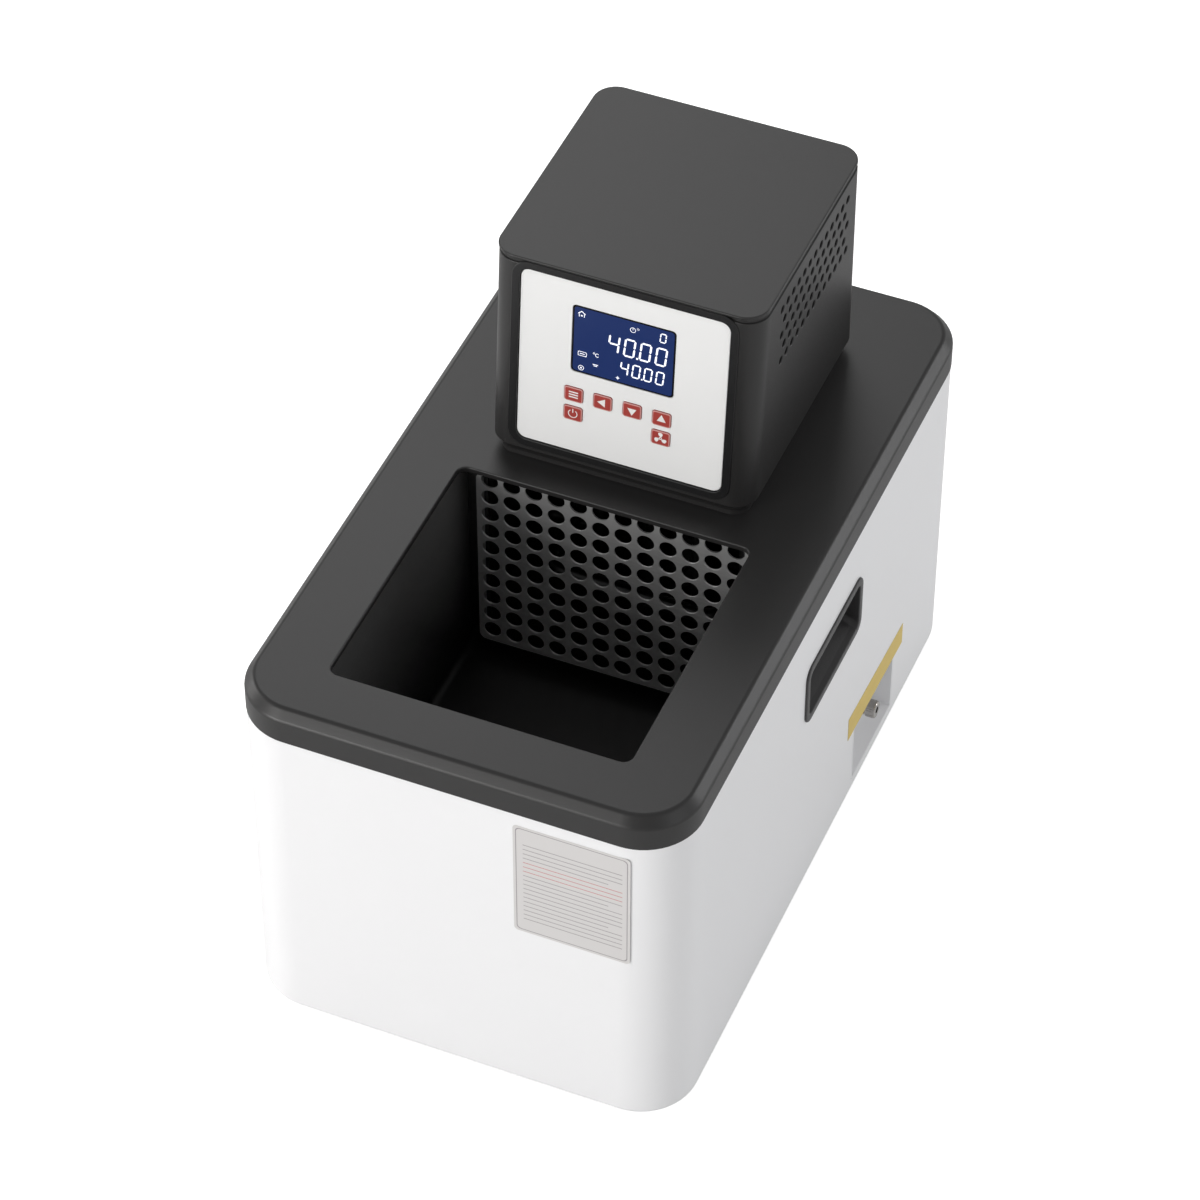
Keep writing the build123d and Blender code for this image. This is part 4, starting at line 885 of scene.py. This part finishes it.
head = {
    "halfX": 69.0, "back": 153.4, "lean": 0.0857, "panelTopY": 16.9, "faceOut": 0.4,
    "height": 122.0, "cornerRadius": 12.0, "wall": 1.5, "neckHeight": 8.0, "neckIn": 3.6,
    "neckStraight": 3.0, "neckWall": 9.0, "lidWall": 1.6, "lidGap": 0.5, "lidFront": 1.2,
    "grooveHeight": 2.4, "grooveDepth": 0.9,
}
leanLength = math.hypot(1.0, head["lean"])
panelUp = Vector((0.0, head["lean"] / leanLength, 1.0 / leanLength))
panelOut = Vector((0.0, -1.0 / leanLength, head["lean"] / leanLength))
panel = {
    "middleUp": 64.8, "halfX": 53.6, "halfV": 50.7, "radius": 5.0, "wall": 2.0,
    "edgeBreak": 0.35, "bezelFrame": 4.5, "bezelProud": 1.0, "bezelLip": 1.5, "gap": 0.3,
    "lcdHalfX": 26.65, "lcdHalfV": 19.85, "lcdMiddle": (0.0, 17.5), "lcdRadius": 2.2,
}
panelMiddleY = head["panelTopY"] - head["lean"] * (head["height"] - panel["middleUp"])
panelMiddle = Vector((0.0, panelMiddleY, deckTop + panel["middleUp"]))


def onPanel(u, v, out):
    return panelMiddle + Vector((u, 0.0, 0.0)) + panelUp * v + panelOut * out


def panelOutline(grow):
    return roundedOutline(panel["halfX"] + grow, panel["halfV"] + grow, panel["radius"] + grow, steps=8)


def overDeck(x, y, height):
    return (x, y, deckTop + height)


def headOutline(height, inset, front, radius=None):
    middleY = (front + head["back"] - inset) / 2
    halfY = (head["back"] - inset - front) / 2
    size = head["cornerRadius"] - inset if radius is None else radius
    return roundedOutline(head["halfX"] - inset, halfY, size, (0.0, middleY), 12)


def headFront(height):
    return head["panelTopY"] - head["lean"] * (head["height"] - height) - head["faceOut"] * leanLength


def headRing(mesh, height, inset, radius=None):
    outline = headOutline(height, inset, headFront(height) + inset, radius)
    return placeRing(mesh, overDeck, outline, height)


vents = {
    "radius": 2.2, "pitch": 7.3, "rowPitch": 8.0, "rows": 5, "columns": 13, "firstY": 43.4,
    "topUp": 107.9, "flare": 0.35, "cutIn": 4.0,
}
backHoles = {
    "reach": (-8.0, 8.0), "inletHalf": (14.3, 10.3), "switchHalf": (8.8, 13.3),
    "nozzleRadius": 5.3, "radius": 0.5,
}


def ventCutter():
    mesh = bmesh.new()
    face, flare, radius = head["halfX"], vents["flare"], vents["radius"]
    for side in (1, -1):
        profile = [(radius + flare + 1.0, side * (face + 1.0)), (radius, side * (face - flare))]
        profile += [(radius, side * (face - vents["cutIn"]))]
        for row in range(vents["rows"]):
            stagger = row % 2
            for column in range(vents["columns"] - stagger):
                y = vents["firstY"] + (column + stagger / 2) * vents["pitch"]
                z = deckTop + vents["topUp"] - row * vents["rowPitch"]
                rings = loft(mesh, alongX, lambda size: circleOutline(size, (y, z), 20), profile)
                closeRing(mesh, rings[0])
                closeRing(mesh, rings[-1])
    return plainObject("ventCutter", mesh)


def makeHeadShell():
    mesh = bmesh.new()
    top = head["height"] - head["lidWall"] - head["lidGap"]
    bottom = head["neckHeight"]
    wall = head["wall"]
    groove = head["grooveDepth"]
    step = top - head["grooveHeight"]
    profile = [
        (bottom, 0.0), (step - 0.55, 0.0), (step - 0.16, 0.16), (step, groove - 0.2), (step + 0.2, groove),
        (top - 0.3, groove), (top, groove + 0.3), (top, wall), (bottom, wall),
    ]
    joinAll(mesh, [headRing(mesh, height, inset) for height, inset in profile], closed=True)

    def fromBack(x, z, depth):
        return (x, head["back"] + depth, z)

    grow = panel["gap"] + panel["bezelLip"] + 1.0
    window = roundedOutline(panel["halfX"] + grow, panel["halfV"] + grow, panel["radius"] + grow, steps=6)
    cutters = [ventCutter(), barCutter(onPanel, window, backHoles["reach"])]
    outlines = []
    for name, half in (("power_inlet", "inletHalf"), ("switch_housing", "switchHalf")):
        middle = nodeMiddle(name)
        outlines.append(roundedOutline(*backHoles[half], backHoles["radius"], (middle.x, middle.z), 3))
    for name in ("outlet_nipple", "return_nipple"):
        middle = nodeMiddle(name)
        outlines.append(circleOutline(backHoles["nozzleRadius"], (middle.x, middle.z)))
    cutters += [barCutter(fromBack, outline, backHoles["reach"]) for outline in outlines]
    mesh = cutMesh(mesh, cutters)
    addPiece("headShell", mesh, ["darkCoat"], ["head_shell"])


def makeHeadLid():
    mesh = bmesh.new()
    top = head["height"]
    low = top - head["lidWall"]
    front = headFront(top) - head["lidFront"]
    profile = [(0.25, low), (0.0, low + 0.25), (0.0, top - 0.75)]
    profile += arcSteps((0.0, top - 0.75), (0.0, top), (0.75, top), 4)[1:]
    rings = loft(mesh, overDeck, lambda inset: headOutline(top, inset, front + inset), profile)
    closeRing(mesh, rings[0])
    closeRing(mesh, rings[-1])
    addPiece("headLid", mesh, ["darkCoat"], ["head_lid"])


def makeHeadNeck():
    mesh = bmesh.new()
    high, slope, straight = head["neckHeight"], head["neckIn"], head["neckStraight"]
    profile = [(slope + 0.1, 0.0), (slope, straight - 0.6), (slope - 0.25, straight + 0.35)]
    profile += [(0.25, high - 0.35), (0.0, high)]
    rings = [headRing(mesh, height, inset) for inset, height in profile]
    rings += [headRing(mesh, height, slope + head["neckWall"], 4.0) for height in (high, 0.0)]
    joinAll(mesh, rings, closed=True)
    addPiece("headNeck", mesh, ["darkCoat"], ["head_neck"])


def makeBezel():
    mesh = bmesh.new()
    frameWidth, proud, gap = panel["bezelFrame"], panel["bezelProud"], panel["gap"]
    back, lip = -panel["wall"], panel["bezelLip"]
    profile = [
        (frameWidth, proud - 0.6), (frameWidth, proud - 0.25), (frameWidth - 0.25, proud),
        (gap + 0.45, proud), (gap + 0.1, proud - 0.12), (gap, proud - 0.5), (gap, back),
        (-lip, back), (-lip, back - lip),
        (gap + 2.2, back - lip), (gap + 2.2, proud - 0.6),
    ]
    loft(mesh, onPanel, panelOutline, profile, closed=True)
    addPiece("panelBezel", mesh, ["blackMoulding"], ["panel_bezel"], sharp=30)


keys = {
    "names": ["set", "left", "down", "up", "power", "circulate"],
    "halfU": 4.8,
    "radius": 1.3,
    "proud": 0.5,
    "gap": 0.25,
    "edge": 0.3,
    "rim": 0.28,
    "flange": 0.5,
    "flangeTop": -2.3,
    "back": -3.3,
    "stemRadius": 1.6,
    "stemEnd": -4.9,
    "markHeight": 0.05,
}
keyLow, keyHigh = nodeBox("key_set")
keyHalfV = ((keyHigh.z - keyLow.z) - 2 * keys["flange"] - 0.45) / 2


def keyMiddle(name):
    # Middle of a key on the panel, from its CAD node
    offset = nodeMiddle("key_" + name) - panelMiddle
    return offset.x, offset.dot(panelUp)


def makePanel():
    mesh = bmesh.new()
    edge = panel["edgeBreak"]
    back = -panel["wall"]
    profile = [(-edge, 0.0), (-edge * 0.3, -edge * 0.3), (0.0, -edge), (0.0, back)]
    rings = loft(mesh, onPanel, panelOutline, profile)
    gap = keys["gap"]
    openings = [(panel["lcdMiddle"], panel["lcdHalfX"], panel["lcdHalfV"], panel["lcdRadius"])]
    for name in keys["names"]:
        openings.append((keyMiddle(name), keys["halfU"] + gap, keyHalfV + gap, keys["radius"] + gap))
    holes = []
    for middle, halfU, halfV, corner in openings:
        def outline(grow):
            return roundedOutline(halfU + grow, halfV + grow, corner + grow, middle, 5)
        holes.append(loft(mesh, onPanel, outline, [(0.12, 0.0), (0.0, -0.12), (0.0, back)]))
    fillWithHoles(mesh, rings[0], [hole[0] for hole in holes], panelOut)
    fillWithHoles(mesh, rings[-1], [hole[-1] for hole in holes], -panelOut)
    addPiece("controlPanel", mesh, ["panelFilm"], ["control_panel"], sharp=50)


# Flat marks on the panel plane, each between two heights over it

def arcMark(mesh, middle, radius, width, start, end, span, steps=20, material=0):
    # Part of a ring, from start to end degrees
    points = []
    for size, order in ((radius + width / 2, range(steps + 1)), (radius - width / 2, range(steps, -1, -1))):
        for step in order:
            angle = math.radians(start + (end - start) * step / steps)
            points.append((middle[0] + size * math.cos(angle), middle[1] + size * math.sin(angle)))
    prism(mesh, onPanel, points, span, material)


def ringMark(mesh, middle, radius, width, span, steps=24, material=0):
    wide, slim = radius + width / 2, radius - width / 2
    low, high = span
    profile = [(wide, low), (wide, high), (slim, high), (slim, low)]
    loft(mesh, onPanel, lambda size: circleOutline(size, middle, steps), profile, True, material)


def barMark(mesh, middle, halfU, halfV, span, material=0):
    u, v = middle
    corners = [(u - halfU, v - halfV), (u + halfU, v - halfV), (u + halfU, v + halfV), (u - halfU, v + halfV)]
    prism(mesh, onPanel, corners, span, material)


keyMarks = {
    "barRows": (-1.5, 0.0, 1.5),
    "barHalf": (2.4, 0.36),
    "triangle": 2.7,
    "triangleTurns": {"left": 90, "down": 180, "up": 0},
    "lobeSteps": 18,
    "lobeReach": 2.15,
    "lobeLength": 1.25,
    "lobeWidth": 1.12,
    "lobeSkew": 0.35,
    "lobeSweep": 0.2,
}


def lobeOutline(middle, bearing):
    # One blade of the circulation sign, swept to one side
    cosine, sine = math.cos(bearing), math.sin(bearing)
    points = []
    for step in range(keyMarks["lobeSteps"]):
        angle = 2 * math.pi * step / keyMarks["lobeSteps"]
        along = keyMarks["lobeReach"] + keyMarks["lobeLength"] * math.cos(angle)
        across = keyMarks["lobeWidth"] * math.sin(angle) * (1 + keyMarks["lobeSkew"] * math.cos(angle))
        across += keyMarks["lobeSweep"] * math.cos(angle)
        turned = (along * cosine - across * sine, along * sine + across * cosine)
        points.append((middle[0] + turned[0], middle[1] + turned[1]))
    return points


def keyMark(mesh, name, middle, span, material):
    u, v = middle
    thirds = [math.radians(turn) for turn in (90, 210, 330)]
    if name == "set":
        for row in keyMarks["barRows"]:
            barMark(mesh, (u, v + row), *keyMarks["barHalf"], span, material)
    elif name == "power":
        arcMark(mesh, middle, 2.25, 0.45, 125, 415, span, 26, material)
        barMark(mesh, (u, v + 1.7), 0.25, 1.15, span, material)
    elif name == "circulate":
        ringMark(mesh, middle, 0.6, 0.5, span, 16, material)
        for bearing in thirds:
            prism(mesh, onPanel, lobeOutline(middle, bearing), span, material)
    else:
        size = keyMarks["triangle"]
        turn = math.radians(keyMarks["triangleTurns"][name])
        corners = [(u + size * math.cos(third + turn), v + size * math.sin(third + turn)) for third in thirds]
        prism(mesh, onPanel, corners, span, material)


def makeKey(name):
    # Cap with a pale rim and a mark; the flange and stem behind it stay in the panel
    mesh = bmesh.new()
    middle = keyMiddle(name)
    halfU, corner, proud, edge = keys["halfU"], keys["radius"], keys["proud"], keys["edge"]
    flange, flangeTop, back = keys["flange"], keys["flangeTop"], keys["back"]

    def outline(grow):
        return roundedOutline(halfU + grow, keyHalfV + grow, corner + min(grow, 0.0), middle, 5)

    profile = [(flange, back), (flange, flangeTop), (0.0, flangeTop), (0.0, proud - edge)]
    rings = loft(mesh, onPanel, outline, profile)
    slope = loft(mesh, onPanel, outline, [(-0.08, proud - 0.08), (-edge, proud)], material=1)
    joinRings(mesh, rings[-1], slope[0], 1)
    inset = edge + keys["rim"]
    face = roundedOutline(halfU - inset, keyHalfV - inset, corner - 0.45, middle, 5)
    rim = placeRing(mesh, onPanel, face, proud)
    joinRings(mesh, slope[-1], rim, 1)
    closeRing(mesh, rim)
    stemOutline = circleOutline(keys["stemRadius"], middle, 16)
    stem = [placeRing(mesh, onPanel, stemOutline, out) for out in (back, keys["stemEnd"])]
    joinAll(mesh, stem)
    fillWithHoles(mesh, rings[0], [stem[0]], -panelOut)
    closeRing(mesh, stem[1])
    keyMark(mesh, name, middle, (proud - 0.01, proud + keys["markHeight"]), 2)
    finishes = ["keyRed", "keyRim", "markWhite"]
    addPiece("key_" + name + "Cap", mesh, finishes, ["key_" + name], "key_" + name, sharp=30)


# Display

display = {
    "border": 0.9,
    "recess": 0.2,
    "glass": 1.5,
    "edge": 0.15,
    "slant": 0.09,
    # text, left, low, width, height, pitch, stroke
    "rows": [
        ("0", 18.2, 28.7, 3.4, 5.6, 0.0, 0.62),
        ("40.00", -7.9, 14.8, 5.9, 10.9, 8.1, 0.98),
        ("40.00", -1.3, 3.4, 4.4, 8.1, 6.1, 0.78),
    ],
}
segments = {"0": "abcdef", "4": "fgbc"}
signs = {
    "house": (-21.9, 32.6), "clock": (4.4, 31.5), "sparks": (7.0, 32.7), "frame": (-20.9, 9.3),
    "degree": (-14.9, 11.5), "celsius": (-13.2, 10.7), "dish": (-14.0, 4.9),
    "dishFoot": (-14.0, 4.1), "dial": (-21.3, 0.9), "star": (-2.3, 0.9),
}


def segmentOutline(kind, width, height, stroke):
    # Corner points of one bar of a seven-bar digit, with mitred ends
    half = stroke / 2
    gap = stroke * 0.16
    level = {"a": height - half, "g": height / 2, "d": half}
    if kind in level:
        y = level[kind]
        left, right = half + gap, width - half - gap
        under = [(left, y), (left + half, y - half), (right - half, y - half), (right, y)]
        return under + [(right - half, y + half), (left + half, y + half)]
    x = half if kind in "fe" else width - half
    low, high = (height / 2, height - half) if kind in "fb" else (half, height / 2)
    low += gap
    high -= gap
    right = [(x, low), (x + half, low + half), (x + half, high - half), (x, high)]
    return right + [(x - half, high - half), (x - half, low + half)]


def makeDigits(mesh, span):
    for text, left, bottom, width, height, pitch, stroke in display["rows"]:
        start = left
        for mark in text:
            if mark == ".":
                place = (start - (pitch - width) * 0.5, bottom + stroke * 0.55)
                barMark(mesh, place, stroke * 0.5, stroke * 0.5, span)
                continue
            for kind in segments[mark]:
                points = []
                for x, y in segmentOutline(kind, width, height, stroke):
                    points.append((start + x + (y - height / 2) * display["slant"], bottom + y))
                prism(mesh, onPanel, points, span)
            start += pitch


def makeSigns(mesh, span):
    # Small plain signs of the display
    u, v = signs["house"]
    for side in (-1, 1):
        roof = [(0.0, 1.9), (0.0, 1.35), (side * 1.9, -0.15), (side * 1.9, 0.4)]
        prism(mesh, onPanel, [(u + across, v + up) for across, up in roof][::side], span)
        barMark(mesh, (u + side * 1.3, v - 0.8), 0.16, 0.95, span)
    barMark(mesh, (u, v - 0.9), 0.45, 0.35, span)
    u, v = signs["clock"]
    ringMark(mesh, (u, v), 1.35, 0.26, span)
    barMark(mesh, (u, v + 0.45), 0.13, 0.5, span)
    for turn in (0, 60, 120):
        for side in (-90, 90):
            arcMark(mesh, signs["sparks"], 0.45, 0.5, turn + side - 9, turn + side + 9, span, 2)

    def frameOutline(grow):
        return roundedOutline(2.3 + grow, 1.35 + grow, 0.6, signs["frame"], 4)

    low, high = span
    loft(mesh, onPanel, frameOutline, [(0.0, low), (0.0, high), (-0.28, high), (-0.28, low)], closed=True)
    barMark(mesh, signs["frame"], 1.3, 0.2, span)
    ringMark(mesh, signs["degree"], 0.42, 0.24, span, 14)
    arcMark(mesh, signs["celsius"], 0.95, 0.3, 45, 315, span, 14)
    barMark(mesh, signs["dish"], 1.35, 0.22, span)
    barMark(mesh, signs["dishFoot"], 0.9, 0.18, span)
    ringMark(mesh, signs["dial"], 1.35, 0.28, span)
    ringMark(mesh, signs["dial"], 0.3, 0.4, span, 12)
    u, v = signs["star"]
    for turn in range(0, 360, 45):
        angle = math.radians(turn)
        cosine, sine = math.cos(angle), math.sin(angle)
        reach = 1.3 if turn % 90 == 0 else 0.95
        corners = [(u + reach * cosine, v + reach * sine)]
        corners += [(u + turned * sine, v - turned * cosine) for turned in (-0.22, 0.22)]
        prism(mesh, onPanel, corners, span)


def makeDisplay():
    mesh = bmesh.new()
    middle = panel["lcdMiddle"]
    edge = display["edge"]
    halfU, halfV, corner = panel["lcdHalfX"] - edge, panel["lcdHalfV"] - edge, panel["lcdRadius"]
    face = -display["recess"]

    def outline(inset):
        return roundedOutline(halfU - inset, halfV - inset, corner - inset, middle, 6)

    profile = [(0.0, face - display["glass"]), (0.0, face - edge), (edge, face)]
    rings = loft(mesh, onPanel, outline, profile, material=1)
    border = display["border"]
    lit = roundedOutline(halfU - border, halfV - border, corner - 0.6, middle, 6)
    inner = placeRing(mesh, onPanel, lit, face)
    joinRings(mesh, rings[-1], inner, 1)
    closeRing(mesh, inner)
    closeRing(mesh, rings[0], 1)
    finishes = ["displayBlue", "displayBlack"]
    addPiece("displayWindow", mesh, finishes, ["lcd_window"], sharp=30)

    mesh = bmesh.new()
    span = (face - 0.01, face + 0.04)
    makeDigits(mesh, span)
    makeSigns(mesh, span)
    addPiece("displayMarks", mesh, ["displayLit"], sharp=30, weighted=False)


rocker = {
    "tilt": 8.0, "pivot": (30.0, 151.4, 88.0), "faceOut": 4.1, "markUp": 5.5, "faceFall": 2.2,
    "faceRun": 11.0, "markOut": 0.06, "stroke": 0.55, "bar": 2.6, "ring": 1.9,
}


def makeRockerMarks():
    # Line and ring on the two halves of the mains rocker
    x, y, up = rocker["pivot"]
    pivot = Vector((x, y, deckTop + up))
    slope = math.atan2(rocker["faceFall"], rocker["faceRun"])
    half, lift = rocker["stroke"] / 2, rocker["markOut"]
    turn = Matrix.Translation(pivot) @ Matrix.Rotation(math.radians(rocker["tilt"]), 4, "X")
    turn @= Matrix.Translation(-pivot)
    for name, side in (("rockerLine", 1), ("rockerRing", -1)):
        def onHalf(u, v, out):
            outward = Vector((0.0, math.cos(slope), side * math.sin(slope)))
            upward = Vector((0.0, -side * math.sin(slope), math.cos(slope)))
            middle = pivot + Vector((0.0, rocker["faceOut"], side * rocker["markUp"]))
            return middle + Vector((u, 0, 0)) + upward * v + outward * out

        mesh = bmesh.new()
        if side > 0:
            prism(mesh, onHalf, roundedOutline(half, rocker["bar"], half, steps=3), (0.0, lift))
        else:
            profile = [(half, 0.0), (half, lift), (-half, lift), (-half, 0.0)]
            loft(mesh, onHalf, lambda size: circleOutline(rocker["ring"] + size), profile, closed=True)
        bmesh.ops.transform(mesh, matrix=turn, verts=mesh.verts)
        addPiece(name, mesh, ["markWhite"], (), "mains_rocker", sharp=30, weighted=False)


makeDeckCover()
makeWrapper()
makeTank()
makeGuard()
makeHandle(1, "handleRight", "handle_cup_right")
makeHandle(-1, "handleLeft", "handle_cup_left")
makeRecess()
makeCock()
print("body pieces made")
makeTape()
makeLabel()
makeHeadShell()
makeHeadLid()
makeHeadNeck()
makeBezel()
makePanel()
for keyName in keys["names"]:
    makeKey(keyName)
makeDisplay()
makeRockerMarks()
print("head pieces made")


# CAD nodes that keep their shape get their finish here

nodeFinishes = {
    # Dark steel with painted shade for the parts behind the guard and under the head
    "pipeSteelPaintedShade": ["guard_rail_left", "guard_rail_right", "pump_column", "pump_housing", "pump_impeller",
                  "pump_shaft", "outlet_pipe", "return_pipe", "drain_pipe", "temperature_probe",
                  "heater_coil"],
    "nickelPlate": ["outlet_nipple", "return_nipple", "inlet_screws"],
    "zincSheet": ["base_plate", "head_base"],
    "blackMoulding": ["power_inlet", "switch_housing", "switch_rocker", "cooling_fan", "lcd_module",
                      "solid_state_relay"],
    "feetRubber": ["rubber_feet"],
    "zincPlate": ["foot_screws", "foot_nuts"],
    "bareBrass": ["heater_glands", "shaft_bush"],
    "mineralWool": ["tank_insulation"],
    "motorEnamel": ["pump_motor", "mains_transformer"],
    "boardGreen": ["control_board", "display_board"],
    "sinkMetal": ["heat_sink"],
}


def finishNodes():
    for finish, names in nodeFinishes.items():
        for name in names:
            data = nodes[name].data
            data.materials.clear()
            data.materials.append(materials[finish])
            data.set_sharp_from_angle(angle=math.radians(35))


finishNodes()
print("CAD nodes finished")
